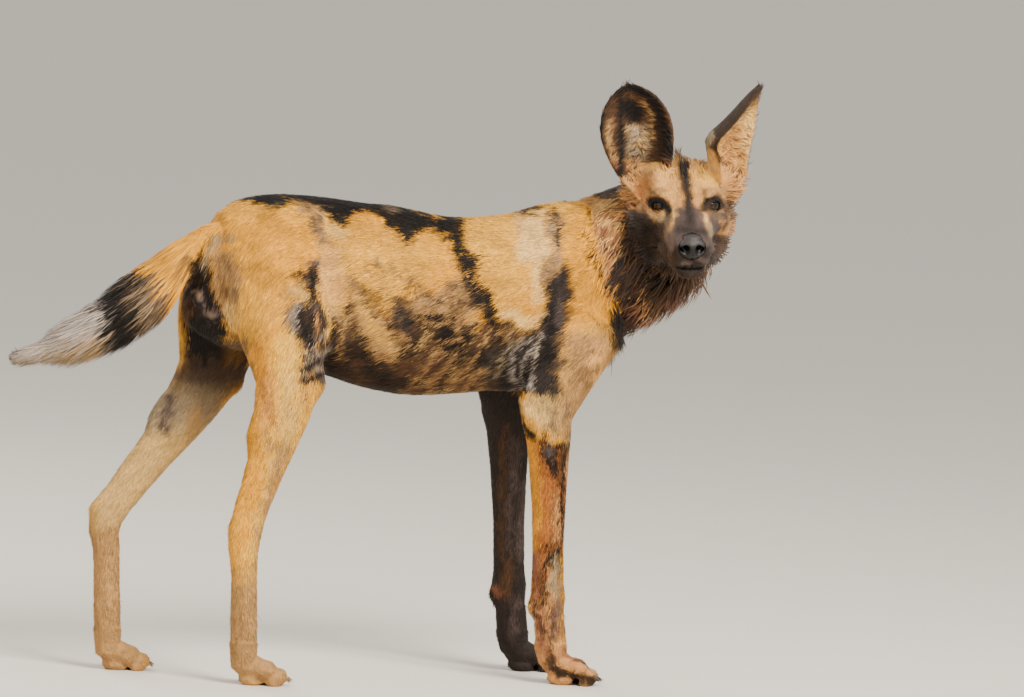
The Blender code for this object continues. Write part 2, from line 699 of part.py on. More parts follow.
def ear_frame(side):
    """Axes of an ear in the head's frame: where its root is, across it, up it and out of its opening."""
    sign = SIDES[side]
    lean, back, turn = (math.radians(angle) for angle in EAR_SET[side][:3])
    up = Vector((-math.sin(back), sign * math.sin(lean), math.cos(lean))).normalized()
    opening = Vector((math.cos(turn), sign * math.sin(turn), 0.0))
    opening = (opening - up * up.dot(opening)).normalized()
    root = Vector((EAR_ROOT[0], sign * EAR_ROOT[1], EAR_ROOT[2]))
    return root, up.cross(opening), up, opening


def ear_width(share):
    """Half width of an ear at a share of its height: broadest half way up, and round at the top."""
    if share < 0.5:
        return EAR_WIDTH / 2 * (0.30 + 0.70 * math.sin(math.pi / 2 * (share + 0.25) / 0.75))
    return EAR_WIDTH / 2 * (1 - (2 * share - 1) ** 1.8) ** 0.6


def ear(side, rows=12, columns=10):
    """A cupped shell: a funnel at its root, nearly flat at the top, and bowed towards its opening."""
    root, across, up, opening = ear_frame(side)
    twist, bow = (math.radians(angle) for angle in EAR_SET[side][3:])
    mesh = bmesh.new()
    grid = []
    spine = root - opening * EAR_BACK - up * EAR_SUNK
    last = -EAR_SUNK / EAR_HEIGHT
    for row in range(rows):
        share = min(1.0 - (1.0 - row / (rows - 1)) ** 1.4 * (1.0 + EAR_SUNK / EAR_HEIGHT), 0.985)
        height = max(share, 0.0)
        bowed = bow * height ** 1.4
        spine = spine + (up * math.cos(bowed) + opening * math.sin(bowed)) * EAR_HEIGHT * (share - last)
        last = share
        curl = math.radians(112.0 - 80.0 * height ** 0.6)
        radius = ear_width(share) / math.sin(min(curl, math.pi / 2))
        turned = Matrix.Rotation(SIDES[side] * twist * height, 3, up)
        line = []
        for column in range(columns):
            angle = curl * (2 * column / (columns - 1) - 1)
            offset = turned @ (across * math.sin(angle) + opening * (1 - math.cos(angle))) * radius
            line.append(mesh.verts.new(spine + offset))
        grid.append(line)
    for low, high in zip(grid, grid[1:]):
        for column in range(columns - 1):
            mesh.faces.new((low[column], low[column + 1], high[column + 1], high[column]))
    data = bpy.data.meshes.new("ear")
    mesh.to_mesh(data)
    mesh.free()
    obj = new_object("ear", data)
    shell = obj.modifiers.new("Thick", "SOLIDIFY")
    shell.thickness = EAR_THICK
    shell.offset = 0.0
    return outward(settle(obj))


def eye_aim(side):
    return Vector((EYE_AIM[0], SIDES[side] * EYE_AIM[1], EYE_AIM[2])).normalized()


def eye_place(side):
    return Vector((EYE_CENTRE[0], SIDES[side] * EYE_CENTRE[1], EYE_CENTRE[2]))


def eye_ball(name, side, radius):
    return ball(name, eye_place(side), (radius,) * 3, segments=14, rings=8)


def lid_opening(side):
    """An almond-shaped cutter in front of an eye, its inner corner a little low."""
    aim = eye_aim(side)
    along = aim.cross(Vector((0.0, 0.0, 1.0))).normalized()
    along = Matrix.Rotation(math.radians(-10 * SIDES[side]), 3, aim) @ along
    frame = Matrix((along, aim.cross(along), aim)).transposed().to_4x4()
    obj = ball("lid_opening", (0, 0, 0), (0.0100, 0.0063, 0.016), segments=20, rings=12)
    obj.data.transform(Matrix.Translation(eye_place(side) + aim * 0.013) @ frame)
    return obj


def nose(extra=0.0):
    """The bare leather of the nose: a rounded block with a flatter top, bigger all over by extra."""
    forms = [
        ball("nose", centre, [radius + extra for radius in radii], segments=14, rings=8)
        for centre, radii in ((NOSE_CENTRE, NOSE_RADII), NOSE_TOP)
    ]
    return combined(forms[0], "UNION", forms[1:])


def nostril(side):
    """A comma-shaped nostril: a round hole with a slit that runs out to the side."""
    sign = SIDES[side]
    return [
        ball("nostril", (0.1095, sign * 0.0085, -0.034), (0.008, 0.0042, 0.0042), (0, 0, sign * -24), 8, 6),
        ball("slit", (0.1035, sign * 0.015, -0.037), (0.006, 0.006, 0.0016), (sign * 25, 0, sign * 40), 8, 6),
    ]


def mouth_cutter():
    """A thin bent sheet along the mouth line, which turns down behind the jaw to the throat."""
    mesh = bmesh.new()
    rows = [[mesh.verts.new((x, y, z)) for y in (-0.09, 0.09)] for x, z in MOUTH_LINE]
    for first, second in zip(rows, rows[1:]):
        mesh.faces.new((first[0], first[1], second[1], second[0]))
    data = bpy.data.meshes.new("mouth")
    mesh.to_mesh(data)
    mesh.free()
    obj = new_object("mouth", data)
    shell = obj.modifiers.new("Thick", "SOLIDIFY")
    shell.thickness = MOUTH_GAP
    shell.offset = 0.0
    shell.use_even_offset = True
    return settle(obj)


def head_form(inverse):
    """Skull, jaw, neck, lids and ears as one closed form in the head's own frame."""
    neck = loft("neck", neck_rows(), (0.0, 0.0, 1.0))
    neck.data.transform(inverse)
    head = thinned(fused("head", head_forms() + [neck], HEAD_VOXEL, HEAD_ROUNDS), HEAD_TRIANGLES)
    combined(head, "UNION", [eye_ball("lids", side, LID_RADIUS) for side in SIDES])
    return combined(head, "UNION", [ear(side) for side in SIDES])


def head_pieces():
    """The pieces of the head, and the space that the locks of the neck keep free."""
    frame = head_frame()
    inverse = frame.inverted()
    head = head_form(inverse)
    point, normal = (Vector(value) for value in NECK_CUT)
    point, behind = inverse @ point, -(inverse.to_3x3() @ normal)
    space = trimmed(grown(head, CLEAR), point, behind, gap=-OVERCUT)
    trimmed(head, point, behind)
    cutters = [lid_opening(side) for side in SIDES] + [nose(GAP)]
    cutters += [eye_ball("socket", side, EYE_RADIUS + GAP) for side in SIDES]
    combined(head, "DIFFERENCE", cutters)
    cutters = [mouth_cutter()]
    places = {"head": (-0.03, 0.0, 0.0), "jaw": (0.02, 0.0, -0.08)}
    for side in SIDES:
        root, across, up, _ = ear_frame(side)
        cutters.append(slab("ear_cut", root + up * (EAR_HEIGHT * EAR_CUT), up, across, (0.125, 0.125)))
        places["ear_" + side] = root + up * 0.07
    made = parted(head, cutters, places)
    made["nose"] = combined(nose(), "DIFFERENCE", [form for side in SIDES for form in nostril(side)])
    for side in SIDES:
        made["eye_" + side] = eye_ball("eye", side, EYE_RADIUS)
    for obj in [*made.values(), space]:
        obj.data.transform(frame)
    return made, space


# ---- the paws ----


def toe_forms(size):
    """Four toes in a row, the middle two ahead, each with a raised knuckle and a low end on its pad."""
    forms, claws = [], []
    length, width, height = size["length"], size["width"], size["height"]
    for toe in range(4):
        lane = (toe - 1.5) / 1.5
        y = lane * width * 0.345
        tip = length * (0.70 if abs(lane) < 0.5 else 0.60)
        turn = lane * 9
        forms += [
            ball("knuckle", (tip - 0.030, y * 0.92, height * 0.56), (0.018, 0.0098, 0.0125), (0, 24, turn)),
            ball("toe_end", (tip - 0.011, y, 0.0125), (0.0135, 0.0094, 0.0125), (0, 12, turn)),
            ball("toe_pad", (tip - 0.014, y, 0.0055), (0.0115, 0.0085, 0.0075), (0, 0, turn)),
        ]
        claws.append((Vector((tip - 0.003, y, 0.0118)), turn))
    forms.append(ball("sole_pad", (length * 0.16, 0.0, 0.0085), (0.020, width * 0.33, 0.0105)))
    back = (0.028, width * 0.36, height * 0.42)
    forms.append(ball("foot_back", (length * 0.12, 0.0, height * 0.62), back, (0, 18, 0)))
    return forms, claws


def claw(place, turn):
    """A blunt curved nail that points ahead and down."""
    rows = [
        (-0.007, 0.0, 0.0016, 0.0024, 0.0030, 0.0030),
        (0.002, 0.0, 0.0012, 0.0024, 0.0027, 0.0027),
        (0.008, 0.0, -0.0020, 0.0017, 0.0019, 0.0019),
        (0.0125, 0.0, -0.0068, 0.0007, 0.0008, 0.0008),
    ]
    obj = loft("claw", rows, (0.0, 0.0, 1.0), 6)
    obj.data.transform(Matrix.Translation(place) @ Matrix.Rotation(math.radians(turn), 4, "Z"))
    return obj


def paw(name, side, joints, girths, size):
    """A paw on flat pads at the floor, cut level from its leg."""
    toes = Vector(joints[3])
    place = Matrix.Translation((toes.x, toes.y, 0.0)) @ Matrix.Rotation(TOE_TURN * -SIDES[side], 4, "Z")
    forms, claws = toe_forms(size)
    nails = [claw(*at) for at in claws]
    for form in forms + nails:
        form.data.transform(place)
    forms.append(loft("shank", limb_rows(joints, girths), (1.0, 0.0, 0.0)))
    obj = thinned(fused(name, forms, PAW_VOXEL, PAW_ROUNDS), PAW_TRIANGLES)
    trimmed(obj, (toes.x, toes.y, PAW_CUT), (0, 0, 1))
    combined(obj, "UNION", nails)
    trimmed(obj, (toes.x, toes.y, 0.0), (0, 0, -1), gap=0.0)
    return kept(obj)


def paws():
    made = {}
    for side in SIDES:
        made["fore_paw_" + side] = paw("paw", side, FORE_JOINTS[side], FORE_GIRTH, FORE_PAW)
        made["hind_paw_" + side] = paw("paw", side, HIND_JOINTS[side], HIND_GIRTH, HIND_PAW)
    return made


# ---- materials and the stand on the floor ----


def coloured(obj, colour, roughness):
    """Gives a node a material of its own, with smooth shading except at its cuts."""
    material = bpy.data.materials.new(obj.name)
    material.use_nodes = True
    shader = material.node_tree.nodes["Principled BSDF"]
    shader.inputs["Base Color"].default_value = (*colour, 1.0)
    shader.inputs["Roughness"].default_value = roughness
    shader.inputs["Metallic"].default_value = 0.0
    obj.data.materials.clear()
    obj.data.materials.append(material)
    obj.data.shade_smooth()
    obj.data.set_sharp_from_angle(angle=SHARP_ANGLE)


def centred(objects):
    """Moves the model so that the middle of its box is over the origin, with its feet still at z = 0."""
    points = [vert.co for obj in objects for vert in obj.data.vertices]
    middles = [(min(p[axis] for p in points) + max(p[axis] for p in points)) / 2 for axis in (0, 1)]
    floor = min(p.z for p in points)
    for obj in objects:
        obj.data.transform(Matrix.Translation((-middles[0], -middles[1], -floor)))


def main():
    clear_scene()
    nodes, head_space = head_pieces()
    body, body_space = body_pieces()
    nodes.update(body)
    nodes["neck"] = ruffed(nodes["neck"], (head_space, body_space))
    nodes["tail"] = plumed(nodes["tail"])
    nodes.update(paws())
    centred(nodes.values())
    for name, obj in nodes.items():
        obj.name = name
        coloured(obj, *COLOURS[name])


main()
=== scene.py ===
# %% [markdown]
# # An African wild dog, from its solids to its coat
#
# The animal stands still and looks back over its right shoulder. A packed set of plain solids
# already fixes its size and stance. This lesson dresses them: one skin melted from copies of the
# solids, a coat of thin closed tufts that follows the lie of the fur, long locks on the ruff and
# the tail, and then eyes, nose, claws, light and a camera.

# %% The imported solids
import json
import math
from contextlib import contextmanager

import bpy
import numpy as np
from mathutils import Matrix, Vector
from mathutils.bvhtree import BVHTree

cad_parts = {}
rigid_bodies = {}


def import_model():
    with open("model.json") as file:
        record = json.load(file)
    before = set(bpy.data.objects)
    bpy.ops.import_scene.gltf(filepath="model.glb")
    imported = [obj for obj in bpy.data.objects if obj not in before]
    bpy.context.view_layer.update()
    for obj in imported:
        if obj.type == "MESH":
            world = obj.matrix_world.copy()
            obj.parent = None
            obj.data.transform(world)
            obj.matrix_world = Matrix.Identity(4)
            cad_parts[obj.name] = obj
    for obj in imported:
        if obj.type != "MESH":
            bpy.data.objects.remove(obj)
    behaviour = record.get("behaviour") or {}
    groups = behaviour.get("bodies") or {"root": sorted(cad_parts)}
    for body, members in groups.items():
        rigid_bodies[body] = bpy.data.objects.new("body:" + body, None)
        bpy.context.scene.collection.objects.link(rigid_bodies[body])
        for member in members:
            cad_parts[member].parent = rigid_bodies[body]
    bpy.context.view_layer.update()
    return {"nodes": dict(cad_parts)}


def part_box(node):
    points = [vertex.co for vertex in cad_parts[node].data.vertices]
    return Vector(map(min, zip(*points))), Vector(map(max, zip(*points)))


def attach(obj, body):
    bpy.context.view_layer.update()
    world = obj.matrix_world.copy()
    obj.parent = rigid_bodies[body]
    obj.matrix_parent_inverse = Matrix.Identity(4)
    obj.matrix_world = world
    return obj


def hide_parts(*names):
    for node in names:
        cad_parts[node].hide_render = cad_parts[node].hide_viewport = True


bpy.ops.object.select_all(action="SELECT")
bpy.ops.object.delete()
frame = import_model()

# %% [markdown]
# ## Where the head and the body lie
#
# The solids were shaped in a frame of their own and then centred over the origin. Two places
# recover that frame: the head turns about a point between the eyes, so the middle between the
# eyes' boxes says how far everything was moved.

# %% The body's own frame and the head's
HEAD_PLACE = (0.326, -0.170, 0.701)
HEAD_TURN, HEAD_NOD, HEAD_TILT = (math.radians(angle) for angle in (-112.5, 12.5, 3.5))
EYE_FORWARD = 0.0015
SIDES = {"right": -1, "left": 1}


def head_matrix():
    turn = Matrix.Rotation(HEAD_TURN, 4, "Z") @ Matrix.Rotation(HEAD_NOD, 4, "Y")
    return Matrix.Translation(HEAD_PLACE) @ turn @ Matrix.Rotation(HEAD_TILT, 4, "X")


def box_middle(node):
    low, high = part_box(node)
    return (low + high) / 2


between_eyes = (box_middle("eye_right") + box_middle("eye_left")) / 2
SHIFT = between_eyes - head_matrix() @ Vector((EYE_FORWARD, 0.0, 0.0))
SHIFT.z = 0.0
HEAD = Matrix.Translation(SHIFT) @ head_matrix()
print("moved by", [round(value, 4) for value in SHIFT])

# %% [markdown]
# ## Small tools
#
# Colours are written as sRGB hex values, and one function turns them into the linear values that
# a shader works with. One function adds a node with its settings and links. The others save the
# same few lines at each piece: a material with its shader's values, edit mode and back, joining
# pieces, and reading or storing all values of a mesh at once.


# %% Colours, materials and nodes
def linear(code):
    values = [int(code[start:start + 2], 16) / 255 for start in (0, 2, 4)]
    return np.array([v / 12.92 if v <= 0.04045 else ((v + 0.055) / 1.055) ** 2.4 for v in values])


def new_material(name, values):
    """A material, its nodes, and its shader with values on the shader's own sockets."""
    material = bpy.data.materials.new(name)
    material.use_nodes = True
    shader = material.node_tree.nodes["Principled BSDF"]
    for socket, value in values.items():
        shader.inputs[socket].default_value = value
    return material, material.node_tree, shader


def add_node(tree, kind, settings=None, links=None, values=None):
    """A node of that kind with its properties, its incoming links and its sockets' own values."""
    node = tree.nodes.new(kind)
    for name, value in (settings or {}).items():
        setattr(node, name, value)
    for name, value in (values or {}).items():
        node.inputs[name].default_value = value
    for name, socket in (links or {}).items():
        tree.links.new(socket, node.inputs[name])
    return node


print("mid grey 808080 in linear light:", linear("808080").round(3))


# %% Selecting, editing and joining
def only(obj):
    bpy.ops.object.select_all(action="DESELECT")
    obj.select_set(True)
    bpy.context.view_layer.objects.active = obj


@contextmanager
def edit_mode(obj):
    """Edit mode with all of the object selected, and object mode again afterwards."""
    only(obj)
    bpy.ops.object.mode_set(mode="EDIT")
    bpy.ops.mesh.select_all(action="SELECT")
    yield
    bpy.ops.object.mode_set(mode="OBJECT")


def joined(objects):
    """The objects as one."""
    only(objects[0])
    for obj in objects:
        obj.select_set(True)
    bpy.ops.object.join()
    return bpy.context.object


def new_object(name, mesh):
    obj = bpy.data.objects.new(name, mesh)
    bpy.context.scene.collection.objects.link(obj)
    return obj


def modify(obj, kind, **settings):
    """Applies one modifier to the object."""
    only(obj)
    modifier = obj.modifiers.new(kind, kind)
    for name, value in settings.items():
        setattr(modifier, name, value)
    bpy.ops.object.modifier_apply(modifier=modifier.name)


# %% Values of whole meshes
def values_of(items, name, width, kind=float):
    """All values of that name, in rows of that width."""
    values = np.empty(len(items) * width, kind)
    items.foreach_get(name, values)
    return values.reshape(-1, width)


def coordinates(mesh):
    return values_of(mesh.vertices, "co", 3)


def vertex_normals(mesh):
    return values_of(mesh.vertex_normals, "vector", 3)


def edges_of(mesh):
    return values_of(mesh.edges, "vertices", 2, int)


def move_corners(mesh, places):
    mesh.vertices.foreach_set("co", places.ravel())
    mesh.update()


def paint_corners(mesh, colours):
    """Stores a colour for each corner of the mesh, where its material reads it."""
    rows = np.ones((len(colours), 4))
    rows[:, :3] = colours
    mesh.color_attributes.new("coat", "FLOAT_COLOR", "POINT").data.foreach_set("color", rows.ravel())


def smoothstep(low, high, value):
    """0 up to low and 1 from high on, or the other way round, with a soft change between."""
    share = np.clip((value - low) / (high - low), 0.0, 1.0)
    return share * share * (3.0 - 2.0 * share)


def ridge(value, middle, reach):
    """1 at the middle, and fading to both sides."""
    return np.exp(-((value - middle) / reach) ** 2)


print("a soft change from 0 to 1:", smoothstep(0, 1, np.linspace(0, 1, 5)).round(2))

# %% [markdown]
# ## One skin from the solids
#
# Under the coat a dog is one unbroken skin. The solids are parted by thin cuts, so copies of them
# are welded, swollen until the cuts close, and melted together by a voxel remesh. The neck and the
# tail carry locks in the solids, so there only a chain of balls, from the same sizes, joins in.
# The head and the paws need finer voxels than the trunk. One body could also be sculpted by hand,
# but the copies already stand in the right places.

# %% Lines of the neck and the tail
# Rings of the neck: centre, half width, and reach up and down, in metres
NECK = (
    ((0.205, 0.000, 0.580), 0.060, 0.090, 0.100),
    ((0.265, -0.002, 0.612), 0.064, 0.084, 0.112),
    ((0.318, -0.016, 0.640), 0.064, 0.078, 0.104),
    ((0.352, -0.046, 0.664), 0.062, 0.074, 0.092),
    ((0.362, -0.084, 0.684), 0.058, 0.066, 0.078),
    ((0.352, -0.116, 0.694), 0.050, 0.056, 0.062),
)
TAIL_LINE = (
    (-0.325, 0.000, 0.625), (-0.365, 0.000, 0.602), (-0.410, 0.002, 0.560), (-0.458, 0.004, 0.521),
    (-0.515, 0.006, 0.487), (-0.570, 0.008, 0.464), (-0.622, 0.010, 0.448),
)
# Radii along the tail, of its flesh and of its hair
TAIL_CORE = (0.025, 0.026, 0.024, 0.020, 0.018, 0.013, 0.005)
TAIL_PLUME = (0.024, 0.025, 0.037, 0.048, 0.046, 0.034, 0.003)
# Two bare balls low between the thighs, under the tail, as rings too
TESTES = (
    ((-0.360, -0.021, 0.536), 0.0115, 0.015, 0.015),
    ((-0.344, -0.027, 0.515), 0.0125, 0.016, 0.016),
)


def between(rows, places):
    """Rows of numbers read at fractional places along them, on a smooth curve."""
    rows = np.array(rows, float)
    padded = np.vstack([rows[:1], rows, rows[-1:], rows[-1:]])
    index = np.minimum(np.floor(places).astype(int), len(rows) - 1)
    t = (places - index)[:, None]
    a, b, c, d = (padded[index + offset] for offset in range(4))
    return 0.5 * (2 * b + (c - a) * t + (2 * a - 5 * b + 4 * c - d) * t ** 2
                  + (3 * b - a - 3 * c + d) * t ** 3)


def chain(rings, places):
    """Balls along a line of rings, each as wide and as high as the rings are there."""
    balls = []
    rows = [(*centre, half, up, down) for centre, half, up, down in rings]
    for centre_x, centre_y, centre_z, half, up, down in between(rows, places):
        place = Vector((centre_x, centre_y, centre_z + (up - down) / 2)) + SHIFT
        bpy.ops.mesh.primitive_uv_sphere_add(segments=32, ring_count=20, location=place,
                                             scale=(half, half, (up + down) / 2))
        bpy.ops.object.transform_apply(location=True, rotation=True, scale=True)
        balls.append(bpy.context.object)
    return balls


print("rings:", len(NECK), "on the neck and", len(TAIL_LINE), "on the tail")

# %% Copies of solids
WELD = 1e-5  # corners nearer than this are one
SWELL = 0.0007  # closes the cuts between the solids


def swollen_copy(names):
    """One object that holds welded copies of the named solids, each a little swollen."""
    copy = joined([new_object(node + "_copy", frame["nodes"][node].data.copy()) for node in names])
    with edit_mode(copy):
        bpy.ops.mesh.remove_doubles(threshold=WELD)
        bpy.ops.transform.shrink_fatten(value=SWELL)
    return copy


def cut_level(obj, height, above):
    """The object cut level and closed there, with what lies above or below taken away."""
    with edit_mode(obj):
        bpy.ops.mesh.bisect(plane_co=(0, 0, height), plane_no=(0, 0, 1), use_fill=True,
                            clear_outer=above, clear_inner=not above)
    return obj


PAWS = [f"{pair}_paw_{side}" for pair in ("fore", "hind") for side in SIDES]
LEGS = [f"{pair}_leg_{side}" for pair in ("fore", "hind") for side in SIDES]
HEAD_PARTS = ["head", "jaw", "ear_right", "ear_left"]
ANKLE = 0.100  # from here down the legs are melted as finely as the paws
OVERLAP = 0.004

upper = cut_level(swollen_copy(["torso", *LEGS]), ANKLE - OVERLAP, above=False)
lower = cut_level(swollen_copy([*LEGS, *PAWS]), ANKLE, above=True)
print("copies:", len(upper.data.polygons), "faces above and", len(lower.data.polygons), "below")


# %% The melt
def spread(values, edges, rounds, shares=(0.5,)):
    """Values at a mesh's corners, averaged with their neighbours, by each share in turn."""
    values = np.array(values, float)
    flat = values.reshape(len(values), -1)
    degree = np.bincount(edges.ravel(), minlength=len(flat)).astype(float)
    for share in list(shares) * rounds:
        for column in range(flat.shape[1]):
            near = np.bincount(edges[:, 0], flat[edges[:, 1], column], len(flat))
            near += np.bincount(edges[:, 1], flat[edges[:, 0], column], len(flat))
            flat[:, column] += share * (near / degree - flat[:, column])
    return values


IN_AND_OUT = (0.55, -0.58)  # smoothing in and then out again makes nothing thinner


def melted(objects, name, voxel, rounds, keep):
    """The objects as one closed surface, smoothed, with a share of its faces kept."""
    obj = joined(objects)
    obj.name = name
    modify(obj, "REMESH", mode="VOXEL", voxel_size=voxel)
    move_corners(obj.data, spread(coordinates(obj.data), edges_of(obj.data), rounds, IN_AND_OUT))
    modify(obj, "DECIMATE", ratio=keep)
    print(name, len(obj.data.polygons), "faces")
    return obj


tail_rings = [(centre, core, core, core) for centre, core in zip(TAIL_LINE, TAIL_CORE)]
trunk = melted([upper, *chain(NECK, np.linspace(0.4, 4.6, 15)), *chain(tail_rings, np.linspace(0.5, 5.7, 27)),
                *chain(TESTES, np.array([0.0, 1.0]))], "trunk_skin", voxel=0.0036, rounds=6, keep=0.20)
head = melted([swollen_copy(HEAD_PARTS), *chain(NECK, np.linspace(3.9, 5.0, 6))],
              "head_skin", voxel=0.0016, rounds=4, keep=0.20)
paws = melted([lower], "paw_skin", voxel=0.0018, rounds=3, keep=0.22)

# %% One closed skin
skin = trunk
for part in (head, paws):
    modify(skin, "BOOLEAN", operation="UNION", solver="MANIFOLD", object=part)
    bpy.data.objects.remove(part)
skin.name = "skin"
skin.data.name = "skin"
print("joined skin:", len(skin.data.polygons), "faces")

# %% Finer faces where the mouth and the lids are carved
# Line of the mouth in the head's frame: ahead of the eyes, and up from them
MOUTH_LINE = ((0.135, -0.0705), (0.092, -0.0690), (0.070, -0.0665), (0.045, -0.0665), (0.012, -0.0630),
              (-0.018, -0.0670))
MOUTH_CORNER, MOUTH_FRONT = -0.016, 0.13
EYE_CENTRE = (EYE_FORWARD, 0.0355, 0.0)
HEAD_AXES = np.array(HEAD)[:3, :3]
into_head = np.array(HEAD.inverted())


def head_directions(directions):
    return directions @ into_head[:3, :3].T


def head_places(at):
    """Points in the head's frame: ahead of the eyes, to its left, and up."""
    return head_directions(at) + into_head[:3, 3]


def above_mouth(at):
    """How far points of the head's frame lie above the line of the mouth."""
    along, heights = np.array(sorted(MOUTH_LINE)).T
    return at[:, 2] - np.interp(at[:, 0], along, heights)


def from_eye(at):
    """Distance to the nearer eye, in the head's frame."""
    return np.linalg.norm(at * (1, 0, 1) + abs(at) * (0, 1, 0) - EYE_CENTRE, axis=1)


def made_finer(obj, chosen):
    """Cuts in two the edges of the faces whose middles are chosen."""
    faces = obj.data.polygons
    faces.foreach_set("select", chosen(head_places(values_of(faces, "center", 3))))
    only(obj)
    bpy.ops.object.mode_set(mode="EDIT")
    bpy.ops.mesh.select_mode(type="FACE")
    bpy.ops.mesh.subdivide(number_cuts=1)
    bpy.ops.object.mode_set(mode="OBJECT")


only(skin)
bpy.ops.object.mode_set(mode="EDIT")
bpy.ops.mesh.select_all(action="DESELECT")
bpy.ops.object.mode_set(mode="OBJECT")
for wide in (0.0055, 0.0035):
    made_finer(skin, lambda at: (at[:, 0] > MOUTH_CORNER) & (at[:, 0] < MOUTH_FRONT)
               & (abs(at[:, 1]) < 0.06) & (abs(above_mouth(at)) < wide))
made_finer(skin, lambda at: from_eye(at) < 0.023)
print("after cutting:", len(skin.data.polygons), "faces")

# %% Smooth shading and an unwrap
only(skin)
bpy.ops.object.shade_smooth()
with edit_mode(skin):
    bpy.ops.mesh.quads_convert_to_tris()
    bpy.ops.uv.smart_project(angle_limit=math.radians(66), island_margin=0.002)
print("skin:", len(skin.data.polygons), "triangles")

# %% [markdown]
# ## What grows where
#
# Every point of the skin has to know which part of the dog it belongs to, because hair is longest
# on the flank and shortest on the muzzle. The nearest solid gives the part. The values of each
# part are then spread over the mesh, so that one coat passes gently into the next.

# %% The part under each corner of the skin
# Of each part: length and width of a tuft, rise of its tip, and how deep the skin lies, in mm,
# then tufts on a square centimetre
COAT = {
    "torso": (15.0, 1.55, 1.7, 2.8, 26.0),
    "neck": (18.0, 1.7, 3.0, 1.2, 22.0),
    "tail": (17.0, 1.8, 3.0, 1.5, 20.0),
    "head": (7.5, 1.10, 1.0, 1.0, 46.0),
    "jaw": (7.5, 1.10, 1.0, 1.0, 46.0),
    "ear": (6.0, 1.10, 0.9, 0.4, 38.0),
    "fore_leg": (9.5, 1.45, 1.2, 1.6, 28.0),
    "hind_leg": (11.0, 1.55, 1.3, 1.8, 25.0),
    "fore_paw": (6.0, 1.20, 0.9, 0.9, 34.0),
    "hind_paw": (6.0, 1.20, 0.9, 0.9, 34.0),
}
PARTS = ["torso", "neck", "tail", "head", "jaw", "ear_right", "ear_left", *LEGS, *PAWS]


def family(part):
    return part if part in COAT else part.rsplit("_", 1)[0]


def part_finder():
    """A search tree over all flesh solids, and the part that each of its faces belongs to."""
    corners, faces, owners = [], [], []
    for number, part in enumerate(PARTS):
        mesh = frame["nodes"][part].data
        start = len(corners)
        corners += [tuple(vert.co) for vert in mesh.vertices]
        faces += [tuple(start + index for index in polygon.vertices) for polygon in mesh.polygons]
        owners += [number] * len(mesh.polygons)
    return BVHTree.FromPolygons(corners, faces), np.array(owners)


tree, owners = part_finder()
points = coordinates(skin.data)
normals = vertex_normals(skin.data)
part_of = owners[[tree.find_nearest(point)[2] for point in points]]
edges = edges_of(skin.data)
place = points - np.array(SHIFT)
in_head = head_places(points)


def among(parts, names):
    return np.isin(parts, [number for number, part in enumerate(PARTS) if part in names])


def is_part(*names):
    return among(part_of, names)


print("corners of the skin:", len(points))

# %% Where the ears begin
EAR_ROOT, EAR_HEIGHT, EAR_WIDTH, EAR_BACK = (-0.050, 0.0530, 0.030), 0.138, 0.102, 0.017
# Degrees by which each ear leans out and back, opens to the side at its root, and turns on from there
EAR_SET = {"right": (12.0, 13.0, 4.0, 0.0), "left": (10.0, 5.0, 50.0, 30.0)}
EAR_RISES = 0.03  # share of the ear's height from which it stands free of the skull
EAR_FREE = 0.3  # and from which no other solid is near
EAR_WALL = 0.0065  # how far an ear's skin may lie from the round of its shell


def ear_axes(side):
    """Of an ear, in the head's frame: its root, and the directions across it, up it and out of it."""
    lean, back, turn = (math.radians(angle) for angle in EAR_SET[side][:3])
    ear_up = Vector((-math.sin(back), SIDES[side] * math.sin(lean), math.cos(lean))).normalized()
    opening = Vector((math.cos(turn), SIDES[side] * math.sin(turn), 0.0))
    opening = (opening - ear_up * ear_up.dot(opening)).normalized()
    root = Vector((EAR_ROOT[0], SIDES[side] * EAR_ROOT[1], EAR_ROOT[2]))
    return [np.array(axis) for axis in (root, ear_up.cross(opening), ear_up, opening)]


def ear_outlook(side):
    """The way that the inside of an ear faces, in the head's frame."""
    turned = math.radians(EAR_SET[side][2] + 0.5 * EAR_SET[side][3])
    return np.array((math.cos(turned), SIDES[side] * math.sin(turned), 0.0))


for side in SIDES:
    ear_root, _, ear_up, opening = ear_axes(side)
    share = (in_head - ear_root) @ ear_up / EAR_HEIGHT
    half = EAR_WIDTH / 2 * (0.30 + 0.70 * np.sin(np.pi / 2 * (np.clip(share, 0, 0.5) + 0.25) / 0.75))
    centre = ear_root + opening * (half - EAR_BACK)[:, None] + ear_up * (share * EAR_HEIGHT)[:, None]
    shell = abs(np.linalg.norm(in_head - centre, axis=1) - half) < EAR_WALL
    part_of[is_part("head") & shell & (share > EAR_RISES) & (share < EAR_FREE)] = PARTS.index("ear_" + side)
print({part: int((part_of == number).sum()) for number, part in enumerate(PARTS)})

# %% The coat's values at each corner
# What the muzzle and the cheeks add to the head's row
ON_MUZZLE = (-3.5, -0.25, -0.45, 0.0, 14.0)
ON_CHEEK = (9.0, 0.35, 2.0, 0.0, -12.0)

coat_rows = np.array([COAT[family(part)] for part in PARTS])[part_of]
muzzle = smoothstep(0.015, 0.055, in_head[:, 0])
cheek = smoothstep(0.0, -0.045, in_head[:, 0]) * smoothstep(0.010, -0.030, in_head[:, 2])
of_face = is_part("head", "jaw")[:, None]
coat_rows += of_face * (muzzle[:, None] * ON_MUZZLE + cheek[:, None] * ON_CHEEK)
coat_values = spread(coat_rows, edges, 16)
print("coat length from", coat_values[:, 0].min().round(1), "to", coat_values[:, 0].max().round(1), "mm")

# %% [markdown]
# ## The lie of the coat
#
# Hair lies from the nose back over the trunk, down the legs and along the tail. Combing it by hand
# would do as well. Here each part gets a direction of its own, which is laid into the skin's
# surface and smoothed across the parts, so that it can be worked out again after any change.


